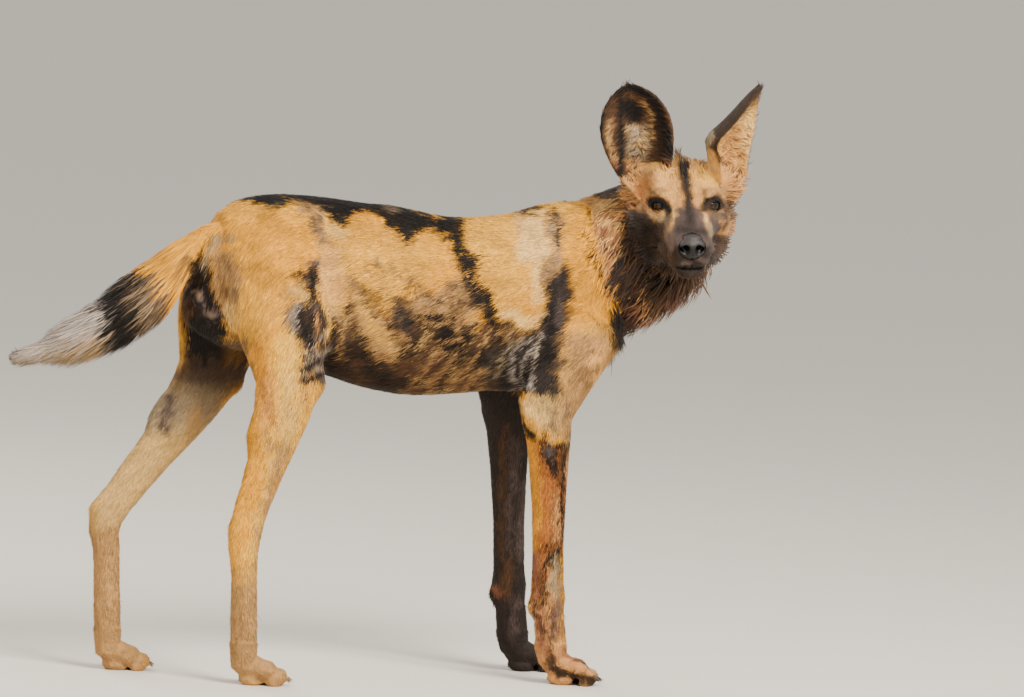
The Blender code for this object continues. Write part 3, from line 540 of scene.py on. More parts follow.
# %% Directions along lines and in the surface
def along_line(line, at):
    """Direction of a line of points next to each given place."""
    dense = between(line, np.linspace(0, len(line) - 1.001, 60))
    nearest = np.argmin(((at[:, None, :] - dense[None, :-1, :]) ** 2).sum(2), axis=1)
    return np.diff(dense, axis=0)[nearest]


def unit(vectors):
    return vectors / np.maximum(np.linalg.norm(vectors, axis=1, keepdims=True), 1e-9)


def laid(vectors, on):
    """The vectors laid into the surface whose normals are given."""
    return unit(vectors - on * (vectors * on).sum(1, keepdims=True))


print("the tail points", unit(along_line(TAIL_LINE, np.array(TAIL_LINE[:1]))).round(2)[0], "at its root")

# %% Growth on the trunk, the legs, the neck and the tail
HIND_BONES = {  # the knee and the hock
    "right": ((-0.236, -0.080, 0.425), (-0.298, -0.082, 0.205)),
    "left": ((-0.284, 0.078, 0.420), (-0.436, 0.084, 0.212)),
}
DOWN = (0.0, 0.0, -1.0)

flow = np.tile((-1.0, 0.0, -0.30), (len(points), 1))
rump = smoothstep(-0.22, -0.34, place[:, 0])
flow[:, 0] += 0.75 * rump
flow[:, 2] -= 0.8 * rump
chest = smoothstep(0.20, 0.31, place[:, 0]) * smoothstep(0.66, 0.56, place[:, 2])
flow[:, 0] += 0.8 * chest
flow[:, 2] -= 0.9 * chest
low_flank = smoothstep(0.60, 0.48, place[:, 2]) * (1 - rump) * (1 - chest)
flow[:, 2] -= 0.35 * low_flank
for side, (knee, hock) in HIND_BONES.items():
    here = is_part("hind_leg_" + side)
    thigh = smoothstep(knee[2] - 0.03, knee[2] + 0.04, place[:, 2])[:, None]
    shin = np.subtract(hock, knee) / np.linalg.norm(np.subtract(hock, knee))
    foot = smoothstep(hock[2] + 0.01, hock[2] - 0.03, place[:, 2])[:, None]
    legs_flow = thigh * (-0.45, 0, -1.0) + (1 - thigh) * ((1 - foot) * shin + foot * DOWN)
    flow[here] = legs_flow[here]
flow[is_part("fore_leg_right", "fore_leg_left")] = (-0.18, 0.0, -1.0)
flow[is_part(*PAWS)] = (0.75, 0.0, -0.65)
here = is_part("neck")
neck_line = [centre for centre, *_ in NECK]
flow[here] = -unit(along_line(neck_line, place[here])) + (0.0, 0.0, -0.55)
here = is_part("tail") | (is_part("torso") & (place[:, 0] < -0.365) & (place[:, 2] > 0.555))
flow[here] = unit(along_line(TAIL_LINE, place[here]))
print("corners on rump and chest:", int((rump > 0.5).sum()), int((chest > 0.5).sum()))

# %% Growth on the head and the ears
low_cheek = smoothstep(0.03, -0.05, in_head[:, 0]) * smoothstep(0.0, -0.04, in_head[:, 2])
head_flow = np.stack([-np.ones(len(points)), 0.25 * np.sign(in_head[:, 1]) * low_cheek,
                      0.10 - 0.55 * low_cheek], axis=1)
in_ear = np.zeros(len(points))  # 1 on the inside of an ear
for side in SIDES:
    ear_root, across, ear_up, _ = ear_axes(side)
    on_ear = is_part("ear_" + side)
    inside = on_ear * smoothstep(-0.05, 0.25, head_directions(normals) @ ear_outlook(side))
    in_ear = np.maximum(in_ear, inside)
    lane = ((in_head - ear_root) @ across)[:, None]
    inward = -across * np.clip(lane / 0.015, -1, 1) + 0.35 * ear_up
    ear_flow = inside[:, None] * inward + (1 - inside[:, None]) * ear_up
    head_flow = np.where(on_ear[:, None], ear_flow, head_flow)
here = is_part(*HEAD_PARTS)
flow[here] = head_flow[here] @ HEAD_AXES.T
flow = laid(unit(flow), normals)
flow = laid(spread(flow, edges, 24), normals)
print("corners inside the ears:", int((in_ear > 0.5).sum()))

# %% [markdown]
# ## The skin sinks under its coat
#
# The solids reach to the tips of the hair. The skin therefore lies deeper, by as much as the coat
# is thick there. The soles stay where they are, because they carry the dog. Before that the fine
# forms of the face are carved, by moving corners along their normals: the parting of the lips,
# the cleft under the nose, and round each eye the edge of the lids, the fold behind it and the
# brow above.

# %% Carving the mouth
PARTING, LIP_ROLL, CLEFT = 0.0020, 0.0008, 0.0012  # depths and heights in metres, here and below

dz = above_mouth(in_head)
of_mouth = (smoothstep(MOUTH_CORNER, MOUTH_CORNER + 0.012, in_head[:, 0])
            * smoothstep(MOUTH_FRONT, 0.12, in_head[:, 0]))
raise_by = -PARTING * ridge(dz, 0.0, 0.0009) + LIP_ROLL * ridge(dz, 0.0034, 0.0018)
raise_by = raise_by * of_mouth * (abs(dz) < 0.012)
below_nose = smoothstep(0.086, 0.094, in_head[:, 0]) * smoothstep(-0.071, -0.066, in_head[:, 2])
raise_by -= CLEFT * ridge(in_head[:, 1], 0.0, 0.0010) * below_nose
print("deepest at the mouth:", (raise_by.min() * 1000).round(2), "mm")

# %% Carving the lids
LID_AXES = (0.0100, 0.0063)  # half length and half height of an eye's opening
LID_SLANT = 10  # degrees
EYE_AIM = (0.78, 0.62, 0.04)
FAR = 9.0  # stands for anywhere away from the eyes
LID_EDGE, LID_FOLD, UPPER_FOLD, BROW = 0.0009, 0.0006, 0.0010, 0.0012

lid_ring = np.full(len(points), FAR)  # 1 on the edge of an eye's opening, 2 twice as far out
for side in SIDES:
    aim = Vector((EYE_AIM[0], SIDES[side] * EYE_AIM[1], EYE_AIM[2])).normalized()
    slant = Matrix.Rotation(math.radians(-LID_SLANT * SIDES[side]), 3, aim)
    along = slant @ aim.cross(Vector((0, 0, 1))).normalized()
    centre = np.array((EYE_CENTRE[0], SIDES[side] * EYE_CENTRE[1], EYE_CENTRE[2]))
    offset = in_head - centre - np.array(aim) * 0.013
    lid_x, lid_y = offset @ np.array(along), offset @ np.array(aim.cross(along))
    close = np.linalg.norm(offset, axis=1) < 0.028
    ring = np.where(close, np.hypot(lid_x / LID_AXES[0], lid_y / LID_AXES[1]), FAR)
    lid_ring = np.minimum(lid_ring, ring)
    over = smoothstep(-0.001, 0.004, -lid_y if aim.cross(along).z < 0 else lid_y)
    raise_by += LID_EDGE * ridge(ring, 1.2, 0.22) - (LID_FOLD + UPPER_FOLD * over) * ridge(ring, 1.95, 0.25)
    raise_by += BROW * over * ridge(ring, 2.8, 0.5)
points += normals * raise_by[:, None]
print("carved from", (raise_by.min() * 1000).round(2), "to", (raise_by.max() * 1000).round(2), "mm")

# %% [markdown]
# ## The shape of the left ear
#
# Seen edge on, the left ear reaches a little higher and flares more at its inner edge than its
# solid does, so its skin is eased out there.

# %% Stretching the left ear
FLARE, OUTWARD, NARROWER, HIGHER = 0.015, 0.006, 0.006, 0.014

ear_root, _, ear_up, _ = ear_axes("left")
share = (in_head - ear_root) @ ear_up / EAR_HEIGHT
middle_line = np.interp(share, (0.0, 0.35, 0.7, 1.0), (0.063, 0.075, 0.089, 0.098))
inner = smoothstep(0.010, -0.020, in_head[:, 1] - middle_line)
stretch = np.zeros((len(points), 3))
stretch[:, 1] = (-FLARE * inner * ridge(share, 0.40, 0.17) + OUTWARD * smoothstep(0.55, 1.0, share)
                 - NARROWER * (1 - inner) * ridge(share, 0.25, 0.25))
stretch += ear_up * (HIGHER * smoothstep(0.45, 1.0, share))[:, None]
stretch *= spread(is_part("ear_left") * 1.0, edges, 6)[:, None]
points += stretch @ HEAD_AXES.T
print("left ear moved by up to", round(float(np.linalg.norm(stretch, axis=1).max() * 1000), 1), "mm")

# %% Easing the lump under each ear
eased = spread(points, edges, 40)
for side in SIDES:
    lump = np.linalg.norm(in_head - np.array((-0.048, SIDES[side] * 0.050, 0.022)), axis=1)
    weight = smoothstep(0.034, 0.016, lump) * ~is_part("ear_right", "ear_left")
    points += weight[:, None] * (eased - points)
    print("corners eased:", int((weight > 0).sum()))
move_corners(skin.data, points)
normals = vertex_normals(skin.data)

# %% Sinking the skin
SOLE = 0.006  # up to this height the skin stays nearer to where it was

depth = coat_values[:, 3] / 1000 * smoothstep(0.0, SOLE, points[:, 2])
points = points - normals * depth[:, None]
move_corners(skin.data, points)
normals = vertex_normals(skin.data)
flow = laid(flow, normals)
print("lowest point of the skin:", round(float(points[:, 2].min()) * 1000, 2), "mm")

# %% [markdown]
# ## Markings
#
# An African wild dog is painted in patches: yellow ochre, black, cream and grey, and no two flanks
# are alike. The patches are drawn as lines and closed outlines on a flat sheet. The sheet
# is the view of the dog from far off on its right, in steps of 1.44 mm, and each point of the
# coat finds its place on it. Both flanks use the sheet, the left one with its patches shifted.
# Legs, tail, neck and head have drawings of their own. Random noise alone would give a coat of
# the right colours, but no dog in particular. Skin and coat share one function, so that what
# shows between the hairs agrees with them.

# %% Hues
HUES = {name: linear(code) for name, code in {
    "ochre": "E39B24", "pale": "EFB448", "cream": "F4C274", "white": "DEC8A8", "black": "17120F",
    "charcoal": "2E2622", "slate": "544540", "umber": "36271B", "brown": "563B26",
    "rust": "82513A", "chestnut": "A4612A", "tan": "B08450", "pink": "C48A50", "sandy": "DDA259",
    "grey": "9A8464", "smoke": "6A5642", "fawn": "CAA260", "silver": "A4968A",
}.items()}
print("hues:", ", ".join(HUES))

# %% The sheet
VIEW_TURN, VIEW_DOWN, VIEW_ROLL = (math.radians(angle) for angle in (28.0, 4.0, 3.5))
VIEW_TARGET = Vector((0.15983572, 0.01798628, 0.47459241)) + SHIFT
VIEW_DISTANCE = 11.0
MM_PER_STEP = 1.44
SHEET_MIDDLE = (512.0, 348.5)
level = Vector((math.sin(VIEW_TURN), math.cos(VIEW_TURN), 0.0))
ahead = level * math.cos(VIEW_DOWN) + Vector((0.0, 0.0, -math.sin(VIEW_DOWN)))
flat_right = Vector((math.cos(VIEW_TURN), -math.sin(VIEW_TURN), 0.0))
flat_up = flat_right.cross(ahead)
right = flat_right * math.cos(VIEW_ROLL) + flat_up * math.sin(VIEW_ROLL)
up = -flat_right * math.sin(VIEW_ROLL) + flat_up * math.cos(VIEW_ROLL)


def sheet(at):
    """Places on the sheet, across and down, of points in space."""
    ray = at - np.array(VIEW_TARGET - ahead * VIEW_DISTANCE)
    steps = VIEW_DISTANCE * 1000 / MM_PER_STEP / (ray @ np.array(ahead))
    return np.stack([SHEET_MIDDLE[0] + steps * (ray @ np.array(right)),
                     SHEET_MIDDLE[1] - steps * (ray @ np.array(up))], axis=1)


print("between the eyes, on the sheet:", sheet(np.array([between_eyes]))[0].round(1))


# %% Noise and brush
def noise(at, seed, size, waves=14):
    """Smooth random values round 0, in lumps of about that size in metres."""
    draw = np.random.default_rng(seed)
    heading = unit(draw.normal(size=(waves, 3))) * np.pi / (size * draw.uniform(0.7, 1.5, (waves, 1)))
    return np.sin(at @ heading.T + draw.uniform(0, 2 * np.pi, waves)).sum(1) / math.sqrt(waves / 2)


def drawn(text):
    """The points of a line, written as pairs of across and down."""
    return np.array([pair.split(",") for pair in text.split()], float)


def outside(spots, line, half):
    """How far spots lie outside a line of that half width, or outside a closed patch where it is 0."""
    ends = line[1:] if half else np.roll(line, -1, axis=0)
    nearest = np.full(len(spots), np.inf)
    inside = np.zeros(len(spots), bool)
    for start, end in zip(line, ends):
        along = end - start
        share = np.clip((spots - start) @ along / (along @ along), 0, 1)
        nearest = np.minimum(nearest, ((spots - start - share[:, None] * along) ** 2).sum(1))
        if not half and start[1] != end[1]:
            beside = start[0] + (spots[:, 1] - start[1]) * along[0] / along[1] > spots[:, 0]
            inside ^= beside & ((start[1] > spots[:, 1]) != (end[1] > spots[:, 1]))
    nearest = np.sqrt(nearest)
    return nearest - half if half else np.where(inside, -nearest, nearest)


def tinted(colours, hue, share):
    """Moves each colour towards a hue by its share."""
    colours += share[:, None] * (HUES[hue] - colours)


def painted(colours, spots, table, share):
    """Lays each row of the table over the colours: its hue, softness, half width and line."""
    for hue, soft, half, text in table:
        line = drawn(text)
        rim = half + soft
        near = (share > 0) & (spots > line.min(0) - rim).all(1) & (spots < line.max(0) + rim).all(1)
        cover = smoothstep(soft, -soft, outside(spots[near], line, half)) * share[near]
        colours[near] += cover[:, None] * (HUES[hue] - colours[near])


shade = np.zeros((1, 3))
tinted(shade, "ochre", np.array([0.5]))
print("half way from black to ochre:", shade[0].round(3))

# %% Drawings of the trunk
BELLY_EDGE = (
    "322,312 345,300 372,314 388,316 412,310 440,290 470,276 486,300 497,322 520,330 545,322 560,345 "
    "560,430 322,430"
)
FLANK = (
    ("tan", 5, 0, "408,304 440,288 472,274 484,296 480,318 440,316 414,314"),
    ("charcoal", 4, 0, "388,301 402,297 416,307 420,326 408,336 394,328"),
    ("smoke", 2, 1.3, "396,304 408,326"),
    ("black", 4, 0, "412,315 436,311 444,318 464,318 472,332 466,352 446,354 440,338 416,330"),
    ("black", 3.5, 4, "498,326 503,337 490,346 478,354 486,364"),
    ("charcoal", 3, 2.6, "500,328 520,331 545,326"),
    ("charcoal", 4, 0, "482,352 545,336 545,395 505,398 486,380"),
    # The umber patch low on the flank, in front of the thigh, is partly the coat's dark colour and partly
    # painted shade under the belly
    ("umber", 6, 0, "330,345 356,332 376,354 400,374 410,398 330,398"), ("black", 4, 3, "334,352 340,388"),
    ("rust", 3, 1.6, "346,350 350,380"), ("black", 3, 3, "358,352 378,374 398,392"),
    ("brown", 3, 2, "352,358 366,388"),
    ("tan", 4, 0, "343,272 362,286 380,314 397,346 398,368 382,358 364,332 352,304"),
    ("pale", 4, 2.5, "356,296 374,324 392,356"), ("pale", 6, 0, "326,258 338,254 342,286 341,308 328,308"),
    ("tan", 5, 5, "320,216 321,243"), ("smoke", 4, 3, "318,222 322,238"),
    ("rust", 1.5, 1.2, "327,288 327,303"), ("charcoal", 1.5, 1.0, "336,278 336,302"),
    ("charcoal", 2, 1.2, "343,258 358,280 372,300 384,322"), ("charcoal", 2, 1.0, "352,278 364,298 376,318"),
    ("smoke", 2, 1.2, "366,268 380,288 392,306"), ("smoke", 3, 2, "378,258 384,278"),
    ("smoke", 2, 1.2, "386,286 398,306"), ("brown", 2, 1.2, "372,292 384,310 394,326"),
    ("smoke", 3, 1.6, "394,262 402,276"), ("slate", 3, 3, "411,281 413,282"),
    ("brown", 2.5, 2.5, "424,288 430,291"), ("smoke", 3, 2, "430,300 440,302"),
    ("brown", 2.5, 1.4, "446,306 454,296 466,290"), ("brown", 2.5, 1.5, "450,316 462,304 472,294"),
    ("umber", 2.5, 1.6, "462,286 474,282"), ("umber", 2.5, 1.6, "456,311 468,308"),
    ("ochre", 3, 3.5, "474,318 479,326"), ("cream", 5, 4.5, "505,314 520,318 541,318"),
    ("tan", 4, 0, "298,204 322,206 318,216 300,216"), ("fawn", 4, 3, "332,228 346,232"),
    ("black", 3, 0, "243,201 254,204 268,208 282,205 303,205 314,209 324,215 336,223 346,226 352,215 "
     "362,211 378,214 390,222 398,238 407,248 415,240 421,231 430,227 448,241 456,264 465,282 474,300 "
     "486,326 502,334 497,315 489,290 480,275 474,258 466,240 461,215 490,211 545,213 545,150 240,150"),
    ("ochre", 2, 1.6, "414,207 426,213 441,221"), ("smoke", 3, 2, "386,204 398,210"),
    ("cream", 3, 0, "515,213 546,213 548,250 541,264 541,302 533,302 532,266 520,256"),
    ("fawn", 5, 3, "534,222 538,244"), ("pink", 3, 2, "519,216 522,240"),
    ("tan", 3.5, 0, "545,214 562,214 563,262 553,283 541,288 542,262 549,250"),
    ("smoke", 2, 1.5, "556,248 549,268 543,280"), ("smoke", 2, 1.4, "560,256 553,272"),
    ("grey", 2, 1.5, "551,220 552,244"), ("charcoal", 2, 3, "553,206 557,228 558,246"),
    # This umber patch by the thigh is likewise partly the coat's colour and partly painted shade under the
    # belly
    ("umber", 5, 0, "328,314 350,320 354,396 329,396"), ("black", 4, 3, "334,330 336,384"),
    ("tan", 2, 1.4, "345,326 346,360"),
    ("charcoal", 4, 0, "565,262 555,275 545,286 542,300 541,330 540,360 536,392 540,410 563,406 562,370 "
     "563,345 570,320 574,290 570,270"),
    ("black", 4, 5, "556,290 552,320 551,352"), ("slate", 4, 2.4, "562,300 558,335"),
    ("black", 3, 3, "548,360 550,390"),
    ("tan", 12, 0, "566,336 596,326 612,330 618,360 606,425 562,425 564,370"),
    ("sandy", 6, 5, "600,350 598,400"), ("brown", 6, 1.5, "578,352 574,385 570,408"),
    ("brown", 4, 1.5, "588,344 590,372 586,400"), ("tan", 3, 2, "570,352 568,392"),
    ("black", 1.8, 1.8, "584,234 591,252 599,264 607,276 612,284"),
    ("slate", 4, 0, "565,193 600,186 640,176 640,150 565,150"),
    ("charcoal", 4, 0, "612,282 620,286 640,320 640,362 614,356 612,320"),
)
THIGH = (
    ("sandy", 5, 0, "320,246 338,244 342,300 322,304"), ("fawn", 6, 5, "296,290 304,296"),
    ("slate", 3, 0, "302,266 313,259 323,261 321,286 304,285"),
    ("black", 3, 0, "307,268 320,267 319,288 309,290"), ("umber", 3, 3.5, "293,276 305,279"),
    ("charcoal", 2, 1.4, "294,283 306,285"), ("black", 3, 4.6, "314,284 315,308"),
    ("umber", 3, 4, "318,292 316,306"),
    ("slate", 3, 0, "288,308 300,300 312,300 324,306 327,322 320,338 308,346 296,340 288,326"),
    ("umber", 3, 0, "299,304 312,304 310,344 300,340 296,322"),
    ("slate", 3.5, 0, "299,350 330,344 328,386 301,386"), ("rust", 2, 2, "305,390 304,410"),
)
STRANDS = (
    ("black", 1.5, 2.0, "305,303 300,318 303,334 312,343"), ("black", 1.5, 1.5, "311,304 309,322 307,336"),
    ("grey", 1.5, 1.4, "293,308 291,322 296,334"), ("silver", 1.2, 1.0, "299,304 295,316 297,328"),
    ("pink", 1.5, 2.6, "316,314 317,332"), ("black", 1.5, 1.6, "322,308 323,324 318,338 308,345"),
    ("pale", 1.5, 1.3, "321,300 327,314 331,325 326,334"), ("silver", 1.2, 1.0, "303,352 314,344 326,335"),
    ("black", 1.5, 1.8, "302,359 314,350 327,343"), ("grey", 1.5, 1.4, "303,365 315,357 326,352"),
    ("black", 1.5, 2.0, "303,372 314,364 325,360"), ("grey", 1.2, 1.0, "305,378 314,371 324,368"),
    ("black", 1.5, 2.2, "303,384 312,377 323,375"), ("black", 2, 2.2, "329,354 330,387"),
    ("silver", 1.4, 1.8, "542,334 537,352 532,372 531,392"), ("white", 1, 0.8, "540,340 534,366"),
    ("silver", 1.2, 1.2, "534,338 520,345 511,357 510,372 515,388"),
    ("silver", 1.2, 1.0, "538,346 526,354 520,368 523,388"),
    ("grey", 1.2, 1.2, "524,338 510,347 501,360 497,378"),
    ("grey", 1.2, 1.0, "512,342 500,350 491,364 486,378"),
    ("black", 1.2, 1.2, "529,344 516,353 515,370 519,390"),
    ("black", 1.2, 1.2, "519,343 506,354 503,368 505,386"),
    ("black", 1.2, 1.2, "541,352 535,366 527,378 526,394"), ("black", 1.2, 1.4, "508,343 496,355 490,372"),
    ("tan", 1.2, 1.2, "478,352 466,368 450,384"), ("tan", 1.2, 1.2, "458,352 446,368 430,382"),
    ("tan", 1.2, 1.0, "440,350 428,364 412,380"), ("tan", 1.2, 1.2, "486,366 470,384"),
    ("black", 1.2, 1.2, "470,350 456,366 440,384"), ("black", 1.2, 1.2, "484,358 468,376"),
    ("black", 1.2, 1.0, "450,354 438,366 424,380"), ("tan", 1.4, 1.2, "422,319 436,326 448,321 462,330"),
    ("tan", 1.4, 1.2, "430,338 446,345 460,337 468,344"),
    ("brown", 1.6, 1.6, "412,328 424,337 436,342 446,352"), ("tan", 1.4, 1.0, "452,312 458,320 468,324"),
    ("umber", 1.4, 1.2, "416,300 427,294 438,299 447,291"),
    ("umber", 1.4, 1.1, "425,309 438,303 450,308 461,301"),
    ("umber", 1.4, 1.3, "444,284 454,289 464,282 472,289"), ("brown", 1.4, 1.1, "404,290 416,286 426,288"),
    ("umber", 1.4, 1.2, "455,297 466,301 474,295"), ("umber", 1.4, 1.1, "472,306 480,312 478,322"),
)
NEAR_HIND = (
    ("pale", 12, 0, "282,340 300,340 302,430 284,475 270,560 244,600 244,560 264,470"),
    ("fawn", 9, 3, "290,380 290,420 280,460"), ("sandy", 8, 4, "268,380 262,440"),
    ("chestnut", 9, 3.0, "256,335 264,380 270,420"), ("ochre", 6, 6, "256,430 250,490 242,540"),
    ("tan", 8, 8, "282,450 272,505 262,570"), ("tan", 20, 0, "210,575 300,575 300,697 210,697"),
    ("rust", 2, 1, "265,428 273,446"),
)
REAR = (
    ("tan", 5, 0, "210,252 222,248 238,256 240,300 232,326 214,312"), ("brown", 3, 1.5, "218,262 224,296"),
    ("smoke", 3, 1.5, "229,262 234,298"), ("brown", 6, 0, "180,262 196,262 204,330 180,330"),
    ("tan", 4, 3, "188,262 190,300"),
    ("black", 3, 0, "222,236 206,246 199,262 202,280 213,290 221,312 225,334 234,360 236,430 190,430 "
     "186,330 196,300 190,262 204,244"),
    ("black", 4, 6, "203,262 206,284 212,306"), ("grey", 2, 2.0, "230,238 216,244 205,256 202,268"),
    ("cream", 4, 4, "229,302 232,326"), ("smoke", 6, 7, "240,346 246,398"),
    # The testes: black round them, slate balls, a small painted highlight in smoke on each, and a thin black
    # line of painted shade in the crease between them
    ("black", 3, 13, "199,296 212,318"), ("slate", 2, 6, "199,297 200,303"),
    ("slate", 2, 6.5, "211,312 212,319"), ("smoke", 2, 2.2, "198,295 198,300"),
    ("smoke", 2, 2.2, "210,310 210,315"), ("black", 1.2, 1.4, "197,309 206,306 215,303"),
)
print("rows of the flank's drawing:", len(FLANK) + len(THIGH) + len(STRANDS) + len(NEAR_HIND) + len(REAR))

# %% Drawings of the legs and the tail
NEAR_FORE = (
    ("black", 4, 0, "500,392 522,392 528,430 512,428 500,412"),
    ("fawn", 4, 0, "521,404 536,396 563,402 566,438 546,440 531,426"), ("tan", 5, 9, "574,400 572,436"),
    ("ochre", 3, 2.5, "523,410 536,424 548,438"), ("cream", 4, 4, "530,406 544,424"),
    ("brown", 3, 1.4, "556,402 562,436"), ("tan", 4, 4, "560,404 558,430"),
    ("smoke", 3, 2, "550,408 552,434"), ("smoke", 3, 2, "568,408 568,436"),
    ("chestnut", 4, 0, "528,440 575,446 573,540 562,560 548,600 524,600"),
    ("ochre", 4, 4, "531,446 534,520 533,592"), ("pink", 4, 5, "568,452 568,476"),
    ("black", 2.5, 3, "522,424 534,438 550,445 578,444"),
    ("black", 2.5, 0, "542,446 556,446 560,474 553,480 545,468"), ("slate", 2, 2.5, "549,450 551,458"),
    ("black", 1.5, 1.6, "558,452 568,458 577,455"), ("black", 1.5, 1.6, "560,464 568,470 577,466"),
    ("pink", 4, 6, "557,500 558,536"), ("black", 2, 3.2, "565,450 563,484 561.5,520 561,560 560,600 558,640"),
    ("brown", 3, 1.5, "552,490 552,540"), ("black", 3, 0, "543,546 560,544 560,566 546,570"),
    ("pink", 5, 0, "546,570 561,566 562,640 530,640 524,604 544,602"), ("grey", 3, 4, "556,556 555,596"),
    ("rust", 4, 5, "534,556 536,600 541,634"), ("rust", 5, 3, "552,612 554,650"),
    ("black", 2, 2.6, "545,566 545,602"), ("slate", 4, 3, "557,604 556,640"),
    ("umber", 2, 1.6, "529,556 530,602"), ("umber", 2, 1.4, "539,574 538,606"),
    ("umber", 2, 1.6, "550,604 552,636"), ("umber", 2, 2.4, "527,602 538,616 545,640 549,664"),
    ("pink", 6, 0, "528,640 620,640 620,697 528,697"), ("rust", 4, 3.5, "540,640 552,660"),
    ("umber", 2, 1.8, "549,640 553,660"), ("rust", 3, 2.5, "566,652 584,660"),
    # The wide umber line along the bottom of the paw is painted shadow under it
    ("umber", 3, 5, "550,664 566,676 590,683 612,684"), ("black", 2, 2.2, "590,655 602,664 611,680"),
    ("charcoal", 2, 2, "578,654 590,668"), ("grey", 2, 2.6, "592,668 598,678"),
)
FAR_FORE = (
    ("charcoal", 4, 0, "466,380 545,380 550,640 590,650 590,700 466,700"),
    ("brown", 3, 2.2, "503,430 502,500 501,556"), ("black", 4, 5, "528,462 527,490 529,536"),
    ("slate", 4, 3.5, "524,486 523,520 521,560"), ("brown", 4, 4, "508,560 506,600"),
    ("rust", 3, 3, "494,586 499,594"), ("slate", 5, 3, "516,600 514,640"),
    ("slate", 3, 2, "512,440 511,500 510,550"), ("slate", 3, 2, "520,440 519,470"),
)
FAR_HIND = (
    ("slate", 12, 0, "150,330 250,330 250,385 150,385"), ("grey", 14, 0, "130,385 225,380 225,440 130,450"),
    ("fawn", 14, 0, "90,440 215,425 190,530 90,540"), ("tan", 16, 0, "70,530 150,520 150,697 70,697"),
    ("slate", 5, 5, "172,400 164,430"), ("tan", 4, 4, "196,410 190,440"),
)
TAIL_BANDS = (
    ("smoke", 7, 0, "128,258 160,256 188,268 200,300 198,345 150,352 122,345"),
    ("umber", 4, 2.5, "138,300 150,340"), ("umber", 3, 2, "176,262 186,300"),
    ("ochre", 4, 2, "182,258 192,290"), ("tan", 3, 1.6, "160,272 170,318"),
    ("grey", 3, 1.6, "146,276 156,322"), ("brown", 3, 2, "174,282 184,322"),
    ("umber", 3, 1.5, "152,280 164,330"), ("umber", 3, 1.5, "166,290 176,330"),
    ("black", 4, 0, "164,244 112,274 98,290 102,330 110,344 134,347 146,334 138,292 158,268 170,256"),
    ("black", 3, 3, "120,280 124,336"), ("silver", 6, 0, "106,284 110,330 70,348 0,380 0,320 50,300"),
    ("white", 7, 5, "40,325 72,308 96,296"), ("grey", 7, 0, "142,340 108,334 76,344 30,356 20,385 150,385"),
    ("silver", 6, 9, "0,354 44,344"),
)

# %% Drawings of the neck, the head and the ears
NECK_RUFF = (
    ("pink", 4, 0, "584,200 622,198 645,215 640,285 615,290 600,264 588,244"),
    ("tan", 4, 0, "588,200 622,198 622,212 592,216"), ("cream", 4, 4, "598,210 612,208"),
    ("rust", 1.8, 1.5, "600,217 612,215 622,221"), ("rust", 1.8, 1.6, "595,226 606,228 618,238 624,250"),
    ("umber", 1.8, 1.5, "592,236 603,240 613,252 620,268"), ("rust", 1.8, 1.6, "594,247 604,256 612,270"),
    ("cream", 2, 1.5, "597,221 610,222 620,230"), ("cream", 2, 1.6, "593,231 604,235 614,246 621,259"),
    ("umber", 1.8, 1.2, "606,208 618,208"),
    ("umber", 4, 0, "612,268 640,262 740,262 740,320 690,325 650,350 622,330 618,290"),
    ("charcoal", 5, 0, "620,222 645,218 652,270 646,300 628,322 616,288"),
    ("brown", 2, 1.4, "626,240 632,262 630,284"), ("rust", 4, 0, "668,280 706,276 712,300 694,322 672,320"),
    ("tan", 2, 1.4, "690,284 678,304 666,322"), ("tan", 2, 1.4, "702,288 692,306 680,320"),
    ("pink", 2, 1.3, "656,292 664,310 676,328"), ("rust", 3, 2.5, "644,296 650,316 648,334"),
    ("tan", 3, 3.5, "634,322 644,334"), ("tan", 2, 1.5, "642,286 654,306 662,324"),
    ("brown", 2, 2, "684,290 674,312"), ("slate", 4, 0, "565,194 600,197 624,196 640,176 640,150 565,150"),
    ("charcoal", 3, 2.5, "588,190 622,186"),
)
